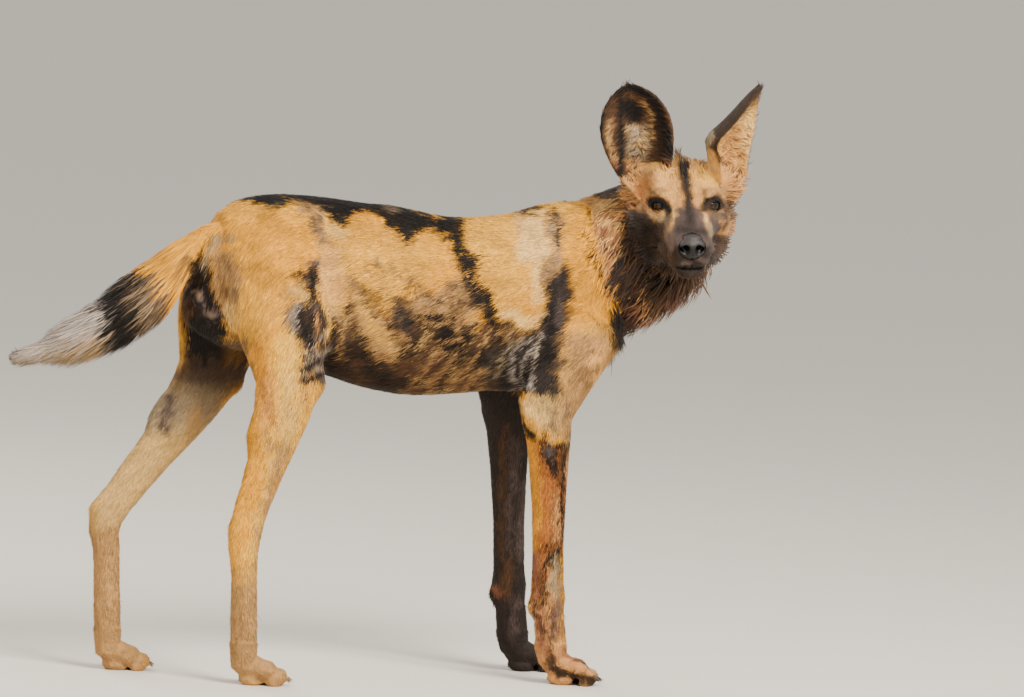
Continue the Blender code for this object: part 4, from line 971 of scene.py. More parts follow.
FACE = (
    ("pink", 8, 0, "612,176 660,172 665,205 640,215 612,212"),
    ("pink", 8, 0, "715,170 740,172 738,215 728,215 716,200"), ("tan", 4, 3, "622,178 621,198 618,212"),
    ("brown", 2.5, 1.6, "620,182 619,198 617,212"), ("tan", 3, 2, "630,176 652,172"),
    ("pale", 6, 6, "655,160 672,158"), ("pale", 8, 5, "702,176 716,178"), ("sandy", 6, 6, "668,176 670,190"),
    ("charcoal", 4, 0, "606,213 640,210 654,220 667,221 673,236 710,236 712,230 722,236 742,240 735,262 "
     "722,300 606,300"),
    ("black", 5, 0, "606,224 644,221 650,240 656,262 676,282 676,300 606,300"),
    ("umber", 5, 0, "650,240 670,240 680,262 676,272 660,268"), ("black", 4, 5, "648,228 664,231 664,240"),
    ("umber", 2.5, 2.4, "665,224 667,236"), ("smoke", 2.5, 2.2, "668,238 672,248"),
    ("slate", 4, 0, "704,230 716,232 719,262 710,270 704,250"), ("brown", 3, 5.5, "725,240 722,254"),
    ("umber", 3, 3, "733,236 728,254"), ("slate", 3, 0, "708,213 726,211 728,226 716,236 711,228"),
    ("smoke", 2.5, 2.2, "713,214 721,218"), ("pink", 2.5, 0, "720,220 731,219 732,231 723,233"),
    ("umber", 1.5, 1.8, "728,207 734,222 735,244"), ("umber", 2, 1.6, "725,208 728,220 721,231"),
    ("umber", 2.5, 0, "656,223 666,219 669,230 674,244 660,246"),
    ("smoke", 2, 0, "664,213 679,207 680,246 665,240"), ("grey", 2.5, 2.4, "651,217 661,219"),
    ("tan", 2, 1.2, "650,217 657,218"), ("umber", 2, 1.6, "645,208 646,220 652,225"),
    ("tan", 2, 2.0, "675,207 673,219 670,229"), ("cream", 1.2, 0.9, "674,211 672,224"),
    ("slate", 2.5, 2.2, "670,236 670,244"), ("cream", 1.6, 1.6, "700,207 704,214 707,221"),
    ("grey", 2.5, 1.8, "709,224 711,234"), ("pink", 3, 3.0, "680,192 679,206"),
    ("pink", 3, 3.4, "698,192 698,206"), ("black", 1.5, 2, "681,144 683,160"),
    ("black", 1.8, 2.4, "684,160 685,170"), ("black", 2.5, 4.0, "684,168 684,178"),
    ("charcoal", 3, 5.8, "686,181 686,189"), ("umber", 3, 4.4, "688,192 689,206"),
    ("slate", 3, 0, "678,208 701,208 706,222 709,240 708,250 674,250 674,236 676,222"),
    ("charcoal", 4, 5, "689,204 690,222"), ("charcoal", 4, 3.5, "680,230 704,232"),
    ("tan", 5, 3, "646,193 662,190"), ("tan", 5, 4, "706,192 722,193"),
    ("brown", 2.5, 1.4, "702,189 705,198"), ("smoke", 2, 1.2, "650,190 658,195"),
    ("tan", 3, 2, "626,184 632,196 640,204"), ("rust", 2, 1, "621,190 629,203"),
    ("black", 2.5, 0, "647,203 650,198 657,196 664,198 670,203 674,212 669,218 664,213 656,213 649,209"),
    ("umber", 2.5, 0, "728,204 722,196 713,194 706,197 700,204 700,213 706,213 713,212 720,211 726,208"),
    ("black", 2, 2.4, "705,202 713,198 721,203"),
    ("charcoal", 2.5, 0, "674,246 711,246 712,262 706,270 682,270 676,262"),
    ("slate", 2, 2.2, "683,264 691,264"), ("slate", 2.5, 3, "700,260 706,262"),
    ("umber", 2, 2.5, "681,277 694,279 706,275"), ("black", 1.0, 0.7, "674,266 684,270 700,270 709,265"),
    ("black", 0.8, 0.8, "693,258 693,269"),
)
RIGHT_EAR = (
    ("brown", 5, 0, "592,80 680,80 680,185 592,185"), ("tan", 4, 4.5, "607,124 607,148 613,160"),
    ("umber", 3, 6, "652,104 659,128 662,154"),
    ("black", 3, 4.2, "600,142 601,124 604,106 612,93 621,87 634,86 650,96 661,111 667,130 670,156"),
    ("umber", 3, 2.5, "603,140 607,156 616,172"), ("tan", 2, 1.4, "645,103 651,116 652,138"),
    ("black", 3, 3.8, "619,96 619,118 621,140 622,158 620,180"), ("black", 3, 9.5, "629,107 634,113"),
    ("umber", 3, 2.5, "608,100 614,112"), ("grey", 4, 0, "627,126 648,124 650,146 646,158 628,156"),
    ("fawn", 3, 3.5, "629,128 638,131 643,138"), ("silver", 2, 2, "628,127 636,130 641,136"),
    ("tan", 3, 2.4, "634,144 644,149"), ("umber", 0.8, 0.8, "628,131 650,128"),
    ("umber", 0.8, 0.8, "629,137 652,135"), ("umber", 0.8, 0.8, "630,143 652,142"),
    ("umber", 0.8, 0.8, "630,149 650,149"), ("brown", 1.5, 1.2, "604,112 614,110"),
    ("umber", 1.0, 1.0, "603,118 615,117"), ("umber", 1.0, 1.0, "603,124 616,124"),
    ("umber", 1.0, 1.0, "603,130 616,131"), ("umber", 1.0, 1.0, "603,137 616,138"),
    ("umber", 1.0, 1.0, "605,144 617,146"), ("umber", 1.0, 1.0, "607,151 618,153"),
    ("pink", 4, 4, "630,164 644,166"), ("umber", 1.2, 1.2, "628,156 652,155"),
    ("umber", 1.2, 1.2, "626,163 648,160"), ("umber", 1.2, 1.2, "626,170 648,166"),
    ("rust", 1.5, 1, "608,160 616,168"),
)
LEFT_EAR = (
    ("umber", 4, 0, "690,80 775,80 775,195 690,195"),
    ("sandy", 5, 0, "757,96 762,120 758,165 742,192 720,180 712,158 732,124"),
    ("cream", 6, 6, "749,112 748,150"), ("pink", 5, 4, "722,160 732,176"), ("pink", 5, 3, "732,134 726,150"),
    ("rust", 1.5, 0.8, "735,130 750,128"), ("rust", 1.5, 1, "733,139 750,137"),
    ("brown", 1.5, 0.8, "730,148 750,146"), ("rust", 1.5, 1, "728,157 748,156"),
    ("rust", 1.5, 1, "726,166 744,165"), ("brown", 2, 2, "716,152 724,164"),
    ("umber", 2.5, 3, "763,80 752,100 738,118 722,134 708,146"),
)
LEFT_EAR_ROOT = (
    ("sandy", 2, 0, "702,149 712,148 718,158 722,180 704,180"),
    ("sandy", 2.5, 0, "733,160 752,160 748,188 732,186"),
    ("grey", 1.5, 0, "704,133 711,131 716,136 712,146 705,149"), ("brown", 1.5, 1, "717,137 712,148"),
)
print("rows of the head's drawing:", len(NECK_RUFF) + len(FACE) + len(RIGHT_EAR) + len(LEFT_EAR))

# %% [markdown]
# The drawings are laid over each other as an animal's fur is: the ground colour with its own
# darker waves first, then the belly with streaks that run down and to the rear, the flank's large
# patches, the fine strands between them, the legs, the tail, the ruff and at last the head. The
# lines are bent by two waves of noise, so that no edge is as smooth as it was drawn.

# %% Markings of any place on the coat
STREAK_AXES = np.array(((-0.22, 0.77), (0.27, 0.64)))  # streaks on the belly run down and to the rear
BELLY_STREAKS = (  # hue, seed, size in metres, share, and the least noise that shows
    ("tan", 31, 0.0060, 0.85, 0.35), ("fawn", 37, 0.0045, 0.8, 0.75),
    ("brown", 36, 0.0060, 0.7, 0.60), ("black", 33, 0.0080, 0.9, 0.45),
)
LEFT_SHIFT, LEFT_BEND = (16.0, -7.0), 10.0  # of the left flank's patches, in steps of the sheet
LEG_CALM = 0.4  # share of the raggedness that a leg's drawing goes without


def markings(at, normal, parts):
    """Linear colour of the coat at places on the skin, with their normals and parts."""
    def of(*names):
        return among(parts, names)

    own = at - np.array(SHIFT)
    lengthwise = own * (0.5, 1, 1)
    colours = np.tile(HUES["ochre"], (len(at), 1))
    lower = smoothstep(0.56, 0.46, own[:, 2])
    fine = own * (0.6, 1, 1)
    ragged = np.stack([2.2 * noise(own, seed, 0.024) + (1.6 + 1.6 * lower) * noise(fine, seed + 1, 0.006)
                       for seed in (1, 3)], axis=1)
    left = smoothstep(0.0, 0.05, own[:, 1]) * of("torso", "hind_leg_left", "fore_leg_left")
    folded = own.copy()
    folded[:, 1] = np.where(of("neck"), own[:, 1], -abs(own[:, 1]))
    wander = np.stack([LEFT_BEND * noise(own, seed, 0.13) for seed in (11, 12)], axis=1) + LEFT_SHIFT
    spots = sheet(folded + np.array(SHIFT)) + ragged + wander * left[:, None]
    skull, on_ear = of("head", "jaw"), of("ear_right", "ear_left")
    plain = sheet(at) + ragged * np.where(skull | on_ear, 0.30, 1.0)[:, None]
    trunk = of("torso", "neck", *LEGS) * 1.0
    haunches = of("torso", "hind_leg_right", "hind_leg_left") * 1.0

    tinted(colours, "pale", 0.5 * smoothstep(-1.2, 1.4, noise(own, 21, 0.08)))
    tinted(colours, "brown", 0.22 * smoothstep(0.2, 1.6, noise(lengthwise, 22, 0.02)))
    belly = smoothstep(6, -6, outside(spots, drawn(BELLY_EDGE), 0)) * of("torso")
    streaks = np.column_stack([spots @ STREAK_AXES * MM_PER_STEP / 1000, np.zeros(len(at))])
    tinted(colours, "brown", belly)
    for hue, seed, size, share, least in BELLY_STREAKS:
        spotted = smoothstep(least, least + 0.35, noise(streaks, seed, size)) * belly
        tinted(colours, hue, share * spotted)
    painted(colours, spots, FLANK, trunk)
    painted(colours, plain, NEAR_HIND, of("hind_leg_right", "hind_paw_right") * 1.0)
    painted(colours, spots, THIGH, haunches)
    painted(colours, spots - 0.65 * ragged, STRANDS, trunk)
    crotch = (haunches * smoothstep(0.062, 0.045, abs(own[:, 1]))
              * smoothstep(-0.18, -0.24, own[:, 0]) * smoothstep(0.51, 0.47, own[:, 2]))
    tinted(colours, "umber", 0.9 * crotch)
    between_legs = np.where(own[:, 1] < 0, smoothstep(0.105, 0.085, -own[:, 1]),
                            smoothstep(0.075, 0.055, own[:, 1]))
    painted(colours, plain, REAR, smoothstep(-0.275, -0.30, own[:, 0]) * between_legs * haunches)
    calm = plain - LEG_CALM * ragged * of(*LEGS, *PAWS)[:, None]
    painted(colours, calm, NEAR_FORE, of("fore_leg_right", "fore_paw_right") * 1.0)
    painted(colours, calm, FAR_FORE, of("fore_leg_left", "fore_paw_left") * smoothstep(0.53, 0.49, own[:, 2]))
    painted(colours, calm, FAR_HIND, of("hind_leg_left", "hind_paw_left")
            * smoothstep(0.48, 0.40, own[:, 2] + 0.015 * noise(own, 47, 0.035)))
    # Painted shade: the inner face of the far hind thigh, which faces the other leg, is darkened towards
    # umber
    far_thigh_painted_shade = (of("hind_leg_left") * smoothstep(0.36, 0.44, own[:, 2])
                   * smoothstep(0.1, 0.5, -normal[:, 1]))
    tinted(colours, "umber", 0.85 * far_thigh_painted_shade)
    painted(colours, plain, TAIL_BANDS, of("tail") * 1.0)
    painted(colours, plain, NECK_RUFF, of("neck", "head", "jaw") * 1.0)

    colours[skull] = HUES["sandy"]
    head_place = head_places(at)
    far_neck = of("neck") * smoothstep(-0.02, 0.02, head_place[:, 1])
    behind_skull = far_neck * smoothstep(-0.150, -0.085, head_place[:, 0] + 0.012 * noise(own, 46, 0.015))
    streaked = 0.7 * far_neck * smoothstep(0.5, 1.2, noise(own * (0.5, 1, 0.4), 45, 0.012))
    tinted(colours, "brown", np.maximum(behind_skull, streaked))
    painted(colours, plain, FACE, skull * 1.0)
    tinted(colours, "brown", skull * smoothstep(-0.055, -0.075, head_place[:, 0]))
    facing = head_directions(normal)
    for side, table in (("right", RIGHT_EAR), ("left", LEFT_EAR)):
        here = of("ear_" + side)
        colours[here] = HUES["umber"]
        painted(colours, plain, table, here * smoothstep(-0.05, 0.25, facing @ ear_outlook(side)))
    towards_sheet = smoothstep(0.0, 0.15, -(normal @ np.array(ahead)))
    painted(colours, plain, LEFT_EAR_ROOT, of("ear_left") * towards_sheet)
    colours *= (1 + 0.06 * noise(lengthwise, 41, 0.012) + 0.05 * noise(lengthwise, 43, 0.005)
                + 0.04 * noise(own, 42, 0.05))[:, None]
    return colours.clip(0.004, 0.9)


some = slice(None, None, 500)
print("mean of some places:", markings(points[some], normals[some], part_of[some]).mean(0).round(3))

# %% [markdown]
# ## Tufts
#
# Real hairs are far finer than a still model needs, and there are millions. Here a tuft stands
# for a few dozen of them. It is a thin closed blade: a three-cornered root under the skin, rings
# above it where it is longer, and a tip. A few faces are enough, because there are tens of
# thousands. Roots are drawn evenly over the skin: all triangles stand in a row, each as long as
# its area times its density, and the row is walked in equal steps.

# %% Roots spread evenly over the skin
mesh = skin.data
mesh.calc_loop_triangles()
triangles = np.array([tri.vertices for tri in mesh.loop_triangles])
triangle_loops = np.array([tri.loops for tri in mesh.loop_triangles])
uv_values = values_of(mesh.uv_layers.active.data, "uv", 2)
sides_a = points[triangles[:, 1]] - points[triangles[:, 0]]
sides_b = points[triangles[:, 2]] - points[triangles[:, 0]]
areas = np.linalg.norm(np.cross(sides_a, sides_b), axis=1) / 2
print("skin area:", round(areas.sum(), 3), "m2")


def roots(weight, draw, per_cm2=None):
    """Roots where weight, given at the skin's corners, is above zero."""
    density = coat_values[:, 4] if per_cm2 is None else np.full(len(points), per_cm2)
    share = areas * 1e4 * (density * weight)[triangles].mean(1)
    row = np.cumsum(share)
    count = int(row[-1])
    chosen = np.searchsorted(row, (np.arange(count) + draw.random(count)) / count * row[-1])
    chosen = np.minimum(chosen, len(share) - 1)
    a, b = draw.random(count), draw.random(count)
    over = a + b > 1
    a[over], b[over] = 1 - a[over], 1 - b[over]
    mix = np.stack([1 - a - b, a, b], axis=1)[:, :, None]
    corners = triangles[chosen]

    def read(values):
        return (values[corners] * mix).sum(1)

    normal = unit(read(normals))
    return {
        "at": read(points), "normal": normal, "flow": laid(read(flow), normal),
        "values": read(coat_values), "uv": (uv_values[triangle_loops[chosen]] * mix).sum(1),
        "part": part_of[corners[:, 0]],
    }


# %% [markdown]
# ## Hair as a material
#
# Guard hair is smooth but not polished: a broad, dull shine along each hair. The colour comes from
# the markings, with a fine streak of light and dark over it, and a trace of sheen stands for the
# light that the outermost hairs scatter. The skin under the coat has the same colours, painted a
# little darker as painted shade under the hairs, without the sheen, and a bump as of hair that lies flat.

# %% Coat material
SPECULAR, SHEEN_ROUGHNESS = 0.15, 0.5
GRAIN = 900.0  # a metre, so streaks of about 1 mm, coarser than a hair, because a hair would not show
STREAKS = {"From Min": 0.3, "From Max": 0.7, "To Min": 0.75, "To Max": 1.20}


def coat_shader(name, roughness, sheen, bump=0.0):
    """Hair: the painted markings with a fine streak of light and dark, and a soft sheen."""
    material, tree, shader = new_material(name, {
        "Roughness": roughness, "Specular IOR Level": SPECULAR, "Sheen Weight": sheen,
        "Sheen Roughness": SHEEN_ROUGHNESS})
    paint = add_node(tree, "ShaderNodeVertexColor", {"layer_name": "coat"})
    place = add_node(tree, "ShaderNodeTexCoord")
    grain = add_node(tree, "ShaderNodeTexNoise", links={"Vector": place.outputs["Object"]},
                     values={"Scale": GRAIN, "Detail": 3.0, "Roughness": 0.6})
    level = add_node(tree, "ShaderNodeMapRange", links={"Value": grain.outputs["Fac"]}, values=STREAKS)
    mix = add_node(tree, "ShaderNodeVectorMath", {"operation": "SCALE"},
                   {"Vector": paint.outputs["Color"], "Scale": level.outputs["Result"]})
    tree.links.new(mix.outputs["Vector"], shader.inputs["Base Color"])
    if bump:
        relief = add_node(tree, "ShaderNodeBump", links={"Height": grain.outputs["Fac"]},
                          values={"Strength": bump, "Distance": 0.001})
        tree.links.new(relief.outputs["Normal"], shader.inputs["Normal"])
    return material


coat_material = coat_shader("short guard hair", 0.62, 0.05)
skin_material = coat_shader("skin under the coat", 0.8, 0.0, 0.6)
print("materials:", coat_material.name, "and", skin_material.name)


# %% Blades as meshes
def blade_faces(rings):
    """Triangles of one closed blade: its root, the walls from ring to ring, and its tip."""
    tip = 3 * rings
    faces = [(0, 2, 1)]
    for start in range(0, tip, 3):
        for corner in range(3):
            a, b = start + corner, start + (corner + 1) % 3
            faces += [(a, b, tip)] if start + 3 == tip else [(a, b, b + 3), (a, b + 3, a + 3)]
    return np.array(faces)


def mesh_of_blades(name, corners, faces):
    """A mesh of equal blades and the corners of its faces, from arrays, as there are so many."""
    count, per = corners.shape[:2]
    indices = (np.arange(count)[:, None, None] * per + faces[None]).reshape(-1)
    mesh = bpy.data.meshes.new(name)
    mesh.vertices.add(count * per)
    mesh.vertices.foreach_set("co", corners.ravel())
    mesh.loops.add(len(indices))
    mesh.loops.foreach_set("vertex_index", indices.astype(np.int32))
    mesh.polygons.add(len(indices) // 3)
    mesh.polygons.foreach_set("loop_start", np.arange(0, len(indices), 3, dtype=np.int32))
    mesh.update(calc_edges=True)
    mesh.shade_smooth()
    return mesh, indices


print("faces of a blade with one, two and three rings:", [len(blade_faces(rings)) for rings in (1, 2, 3)])

# %% Growing them
TURNED = 0.22  # how far each blade is lit as if it were turned, so that neighbours differ
ROUNDED = 0.6  # how round the tress is that a blade is lit as a part of
THICK = 0.35  # of a blade, as a share of its width
MAP_PATCH = 0.0015  # half the room that a blade takes on the coat's map
FEW_SIGMAS = 1.6  # no blade strays further than this from the others


def grown(name, root, stations, length, width, rise, draw, colours, tips=None,
          painted_shading_along=(0.82, 1.0, 1.06), sunk=0.0008, drift=0.12, bend=0.10):
    """One mesh of many closed blades. A station is a share of the length, the width and the rise.

    The blades are lit as if they were part of a round tress: their normals are the skin's, turned
    a little to each side."""
    count, rings = len(root["at"]), len(stations)
    normal, lie = root["normal"], root["flow"]
    side = np.cross(normal, lie)
    lie = unit(lie + side * draw.normal(0, drift, (count, 1)).clip(-FEW_SIGMAS * drift, FEW_SIGMAS * drift))
    side = np.cross(normal, lie)
    leant = unit(normal + draw.normal(0, TURNED, (count, 3)))
    bow = draw.normal(0, bend, count).clip(-FEW_SIGMAS * bend, FEW_SIGMAS * bend) * length
    corners, lit = [], []
    for along, wide, high in stations:
        lifted = rise * high - sunk * (along == 0)
        centre = (root["at"] + lie * (length * along)[:, None] + normal * lifted[:, None]
                  + side * (bow * along ** 2)[:, None])
        half = (width * wide / 2)[:, None]
        corners += [centre - side * half, centre + side * half, centre + normal * half * 2 * THICK]
        lit += [unit(leant - side * ROUNDED), unit(leant + side * ROUNDED), leant]
    corners.append(root["at"] + lie * length[:, None] + normal * rise[:, None] + side * bow[:, None])
    lit.append(unit(leant + 0.3 * lie))
    faces = blade_faces(rings)
    mesh, indices = mesh_of_blades(name, np.stack(corners, axis=1), faces)
    mesh.normals_split_custom_set_from_vertices(np.stack(lit, axis=1).reshape(-1, 3))

    per_station = [3] * rings + [1]
    # Painted shade and light along each blade: darker at the root, where it lies under the coat, and a little
    # lighter at the tip, where light reaches it
    shade = np.interp(np.linspace(0, 1, rings + 1), np.linspace(0, 1, len(painted_shading_along)), painted_shading_along)
    shade = np.repeat(shade, per_station)[None, :, None]
    reach = np.repeat([along ** 2 for along, *_ in stations] + [1.0], per_station)[None, :, None]
    tips = colours if tips is None else tips
    paint = (colours[:, None, :] * (1 - reach) + tips[:, None, :] * reach) * shade
    paint_corners(mesh, paint.reshape(-1, 3))
    patch = np.zeros((3 * rings + 1, 2))
    patch[:, 0] = np.repeat(np.linspace(-1, 1, rings + 1), per_station)
    patch[:-1, 1] = np.tile((-1.0, 1.0, 0.0), rings)
    uvs = root["uv"][:, None, :] + patch[None] * MAP_PATCH
    mesh.uv_layers.new(name="OFBake").data.foreach_set("uv", uvs.reshape(-1, 2)[indices].ravel())
    obj = new_object(name, mesh)
    mesh.materials.append(coat_material)
    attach(obj, "root")
    print(name, count, "tufts,", len(faces) * count, "triangles")


# %% [markdown]
# ## The short coat
#
# The coat is grown piece by piece: the trunk in four, then neck, tail, legs, paws, head, muzzle and
# ears. Each piece draws from a generator of its own, the fore and hind legs from the same seed, so that a
# change in one leaves the others as they are.

# %% Short coat over the whole dog
SHARP = ((0.0, 1.0, 0.0),)
TRUNK_MIDDLE = -0.02
BARE_BALL = 0.016  # no tufts so near to the middle of a testis
BARE_SOLE = 0.008
BARE_RING = 1.30  # the lids' own edges are bare skin
BARE_LIPS = 0.0005


def shaded_markings(at, root, draw, uneven, mean=1.0, most=1.4):
    """The markings under each tuft, each a little lighter or darker than its neighbours."""
    colours = markings(at, root["normal"], root["part"])
    return colours * draw.normal(mean, uneven, (len(at), 1)).clip(0.6, most)


def short_coat(name, weight, seed, jitter=0.002):
    """Short tufts, each painted as the place under its middle, give or take the jitter in metres."""
    draw = np.random.default_rng(seed)
    root = roots(weight, draw)
    length, width, rise = root["values"][:, :3].T / 1000
    count = len(length)
    uneven_length = length * draw.uniform(0.7, 1.2, count)
    middle = root["at"] + root["flow"] * length[:, None] * 0.5 + draw.normal(0, jitter, (count, 3))
    colours = shaded_markings(middle, root, draw, 0.20)
    uneven_rise = rise * draw.uniform(0.5, 1.5, count)
    grown(name, root, SHARP, uneven_length, width, uneven_rise, draw, colours)


from_testes = np.min([np.linalg.norm(place - centre, axis=1) for centre, *_ in TESTES], axis=0)
haired = from_testes > BARE_BALL
seed = 100
for side, sign in SIDES.items():
    for where in ("front", "rear"):
        on_side = np.sign(place[:, 1] + 1e-9) == sign
        on_end = (place[:, 0] > TRUNK_MIDDLE) == (where == "front")
        mask = is_part("torso") & haired & on_side & on_end
        short_coat(f"coat_{where}_{side}", mask * 1.0, seed)
        seed += 1
short_coat("coat_neck", is_part("neck") * 1.0, 110)
short_coat("coat_tail", is_part("tail") * 1.0, 111)
for pair in ("fore", "hind"):
    on_legs = is_part(pair + "_leg_right", pair + "_leg_left")
    short_coat(f"coat_{pair}_legs", (on_legs & haired) * 1.0, 112)
short_coat("coat_paws", is_part(*PAWS) * (points[:, 2] > BARE_SOLE), 114)
furred = smoothstep(BARE_RING, BARE_RING + 0.15, lid_ring) * (1 - of_mouth * (abs(dz) < BARE_LIPS))
on_muzzle = is_part("head", "jaw") & (in_head[:, 0] > 0.012)
on_skull = is_part("head", "jaw") & ~on_muzzle
short_coat("coat_head", on_skull * furred, 115, jitter=0.0008)
short_coat("coat_muzzle", on_muzzle * furred, 117, jitter=0.0006)
short_coat("coat_ears", is_part("ear_right", "ear_left") * 1.0, 116, jitter=0.0008)

# %% Hair inside the ears
FULL = ((0.0, 0.75, 0.0), (0.42, 1.0, 0.62))

draw = np.random.default_rng(118)
root = roots(in_ear * smoothstep(0.80, 0.97, spread(in_ear, edges, 4)), draw, per_cm2=15.0)
count = len(root["at"])
length = draw.uniform(0.010, 0.019, count)
middle = root["at"] + root["flow"] * length[:, None] * 0.5
colours = shaded_markings(middle, root, draw, 0.14, mean=1.06)
rise = draw.uniform(0.001, 0.0045, count)
grown("ear_fringe", root, FULL, length, np.full(count, 0.0011), rise, draw, colours,
      drift=0.22, bend=0.18)

# %% [markdown]
# ## Long hair on the ruff and the tail
#
# Round the neck the hair lengthens into a ruff that hangs from throat and cheeks. On the tail it
# stands out into a plume and ends in a brush. Each lock has more rings than a tuft, so that it can
# sag and curl. A particle system could grow them too, but its hairs would have no faces to export.

# %% Ruff
LOCK = ((0.0, 0.55, 0.0), (0.30, 1.0, 0.45), (0.66, 0.85, 0.86))
# Painted shading of a lock from root to tip: painted shade at the root, painted light at the tip
LOCK_PAINTED_SHADING = (0.70, 0.88, 1.0, 1.08)
LOCK_SUNK = 0.002  # how deep the roots of long hair sit


def along_neck(at):
    """0 at the chest and 1 at the skull, for places in the body's own frame."""
    line = between([centre for centre, *_ in NECK], np.linspace(0, 4.99, 80))
    return np.argmin(((at[:, None, :] - line[None]) ** 2).sum(2), axis=1) / 79


def lighter(colours, share, draw):
    """Colours for the tips of hairs: some fade towards tan or rust, as sun-bleached hair does."""
    towards = np.where(draw.random((len(colours), 1)) < 0.4, HUES["pink"] * 0.7, HUES["rust"])
    return colours + (towards - colours) * (share * draw.random((len(colours), 1)) ** 2)


draw = np.random.default_rng(130)
on_chest = is_part("torso") & (place[:, 0] > 0.235) & (place[:, 2] > 0.50) & (place[:, 2] < 0.66)
here = is_part("neck") | on_chest
down_neck = np.zeros(len(points))
down_neck[here] = along_neck(place[here])
root = roots(here * smoothstep(0.10, 0.30, down_neck), draw, per_cm2=9.0)
count = len(root["at"])
share = along_neck(root["at"] - np.array(SHIFT))
low = -root["normal"][:, 2]  # 1 where the skin faces down
side_lift = np.where(low > 0, 0.016 + 0.042 * low, 0.015 + 0.012 * low)
flatter = 1.0 - 0.65 * (1.0 - share)
length = np.interp(low, (-0.9, -0.3, 0.2, 0.9), (0.024, 0.042, 0.068, 0.070)) * draw.uniform(0.6, 1.05, count)
length *= np.interp(share, (0.15, 0.45, 1.0), (0.60, 1.0, 0.95))
length *= 1 - 0.55 * smoothstep(-0.045, -0.015, head_places(root["at"])[:, 0])
root["flow"] = laid(root["flow"] + np.array((0.0, 0.0, -0.35)), root["normal"])
width = np.interp(low, (-0.9, 0.0, 0.9), (0.0020, 0.0024, 0.0028)) * draw.uniform(0.7, 1.2, count)
rise = side_lift * flatter * draw.uniform(0.35, 1.1, count)
middle = root["at"] + root["flow"] * length[:, None] * 0.4 + draw.normal(0, 0.003, (count, 3))
colours = shaded_markings(middle, root, draw, 0.16, most=1.5)
tips = lighter(colours, 0.55 * smoothstep(-0.1, 0.5, low)[:, None], draw)
grown("ruff", root, LOCK, length, width, rise, draw, colours, tips, LOCK_PAINTED_SHADING, LOCK_SUNK,
      drift=0.20, bend=0.14)

# %% [markdown]
# The hair behind and below the cheeks and under the ears stands off the head and rounds its
# outline. A short tuft stands on the crown, where the dark line of the forehead begins.

# %% Cheek hair
draw = np.random.default_rng(132)
under_ear = (smoothstep(0.040, 0.015, in_head[:, 2]) * smoothstep(0.028, 0.040, abs(in_head[:, 1]))
             * smoothstep(-0.038, -0.056, in_head[:, 0]))
bearing = np.maximum(smoothstep(0.5, 0.9, cheek) * smoothstep(-0.012, -0.035, in_head[:, 0]), under_ear)
root = roots(bearing * is_part("head", "jaw"), draw, per_cm2=14.0)
count = len(root["at"])
behind, _, height = head_places(root["at"]).T
length = np.interp(behind, (-0.09, -0.02), (0.030, 0.015)) * np.interp(height, (-0.025, 0.020), (1.0, 0.55))
length *= draw.uniform(0.7, 1.15, count)
rise = length * draw.uniform(0.25, 0.70, count)
middle = root["at"] + root["flow"] * length[:, None] * 0.4
colours = shaded_markings(middle, root, draw, 0.16)
width = draw.uniform(0.0014, 0.0022, count)
tips = lighter(colours, 0.45, draw)
grown("cheek_hair", root, LOCK, length, width, rise, draw, colours, tips, LOCK_PAINTED_SHADING, LOCK_SUNK,
      drift=0.22, bend=0.15)

# %% Tuft on the crown
CROWN_PEAK = -0.004  # where the dark line meets it, to the left of the head's middle

draw = np.random.default_rng(133)
crown = (is_part("head") * smoothstep(0.030, 0.042, in_head[:, 2]) * smoothstep(-0.010, -0.025, in_head[:, 0])
         * smoothstep(-0.085, -0.070, in_head[:, 0]) * smoothstep(0.034, 0.020, abs(in_head[:, 1])))
root = roots(crown, draw, per_cm2=26.0)
count = len(root["at"])
peak = ridge(head_places(root["at"])[:, 1], CROWN_PEAK, 0.0030)
length = draw.uniform(0.008, 0.013, count) + 0.008 * peak
colours = shaded_markings(root["at"], root, draw, 0.12)
tinted(colours, "black", peak ** 2)
rise = length * draw.uniform(0.3, 0.7, count) + 0.010 * peak
grown("crown_tuft", root, FULL, length, np.full(count, 0.0012), rise, draw, colours,
      drift=0.20, bend=0.15)

# %% Plume of the tail
draw = np.random.default_rng(131)
here = is_part("tail") | (is_part("torso") & (place[:, 0] < -0.375) & (place[:, 2] > 0.53))
tail_end = np.array(TAIL_LINE[-1])
fuller = 1 + 1.5 * smoothstep(0.09, 0.03, np.linalg.norm(place - tail_end, axis=1))  # the tip ends in a brush
root = roots(here * fuller, draw, per_cm2=21.0)
count = len(root["at"])
tail_rows = [(*centre, plume, core) for centre, plume, core in zip(TAIL_LINE, TAIL_PLUME, TAIL_CORE)]
tail_dense = between(tail_rows, np.linspace(0, 5.99, 120))


def nearest_row(at):
    """Number of the place along the tail that is nearest to each point."""
    return np.argmin(((at[:, None, :] - tail_dense[None, :, :3]) ** 2).sum(2), axis=1)


own = root["at"] - np.array(SHIFT)
start = nearest_row(own)
room_left = np.linalg.norm(tail_end - own, axis=1)
length = np.minimum(np.interp(start, (10, 45, 119), (0.030, 0.100, 0.070)), room_left + 0.012)
length *= draw.uniform(0.75, 1.0, count)
end = nearest_row(own + unit(along_line(TAIL_LINE, own)) * length[:, None])
room = np.maximum(tail_dense[end, 3] - tail_dense[start, 4], 0.002)
rise = room * draw.uniform(0.35, 1.0, count) ** 0.7
middle = root["at"] + root["flow"] * length[:, None] * 0.5 + draw.normal(0, 0.004, (count, 3))
colours = shaded_markings(middle, root, draw, 0.12)
# The plume's blades get a milder painted shade at the root and painted light at the tip
grown("plume", root, LOCK, length, np.full(count, 0.0019), rise, draw, colours,
      painted_shading_along=(0.85, 0.95, 1.0, 1.05), sunk=LOCK_SUNK, drift=0.06, bend=0.06)

# %% Colour on the skin itself
BARE_SKIN = linear("0E0B0A")

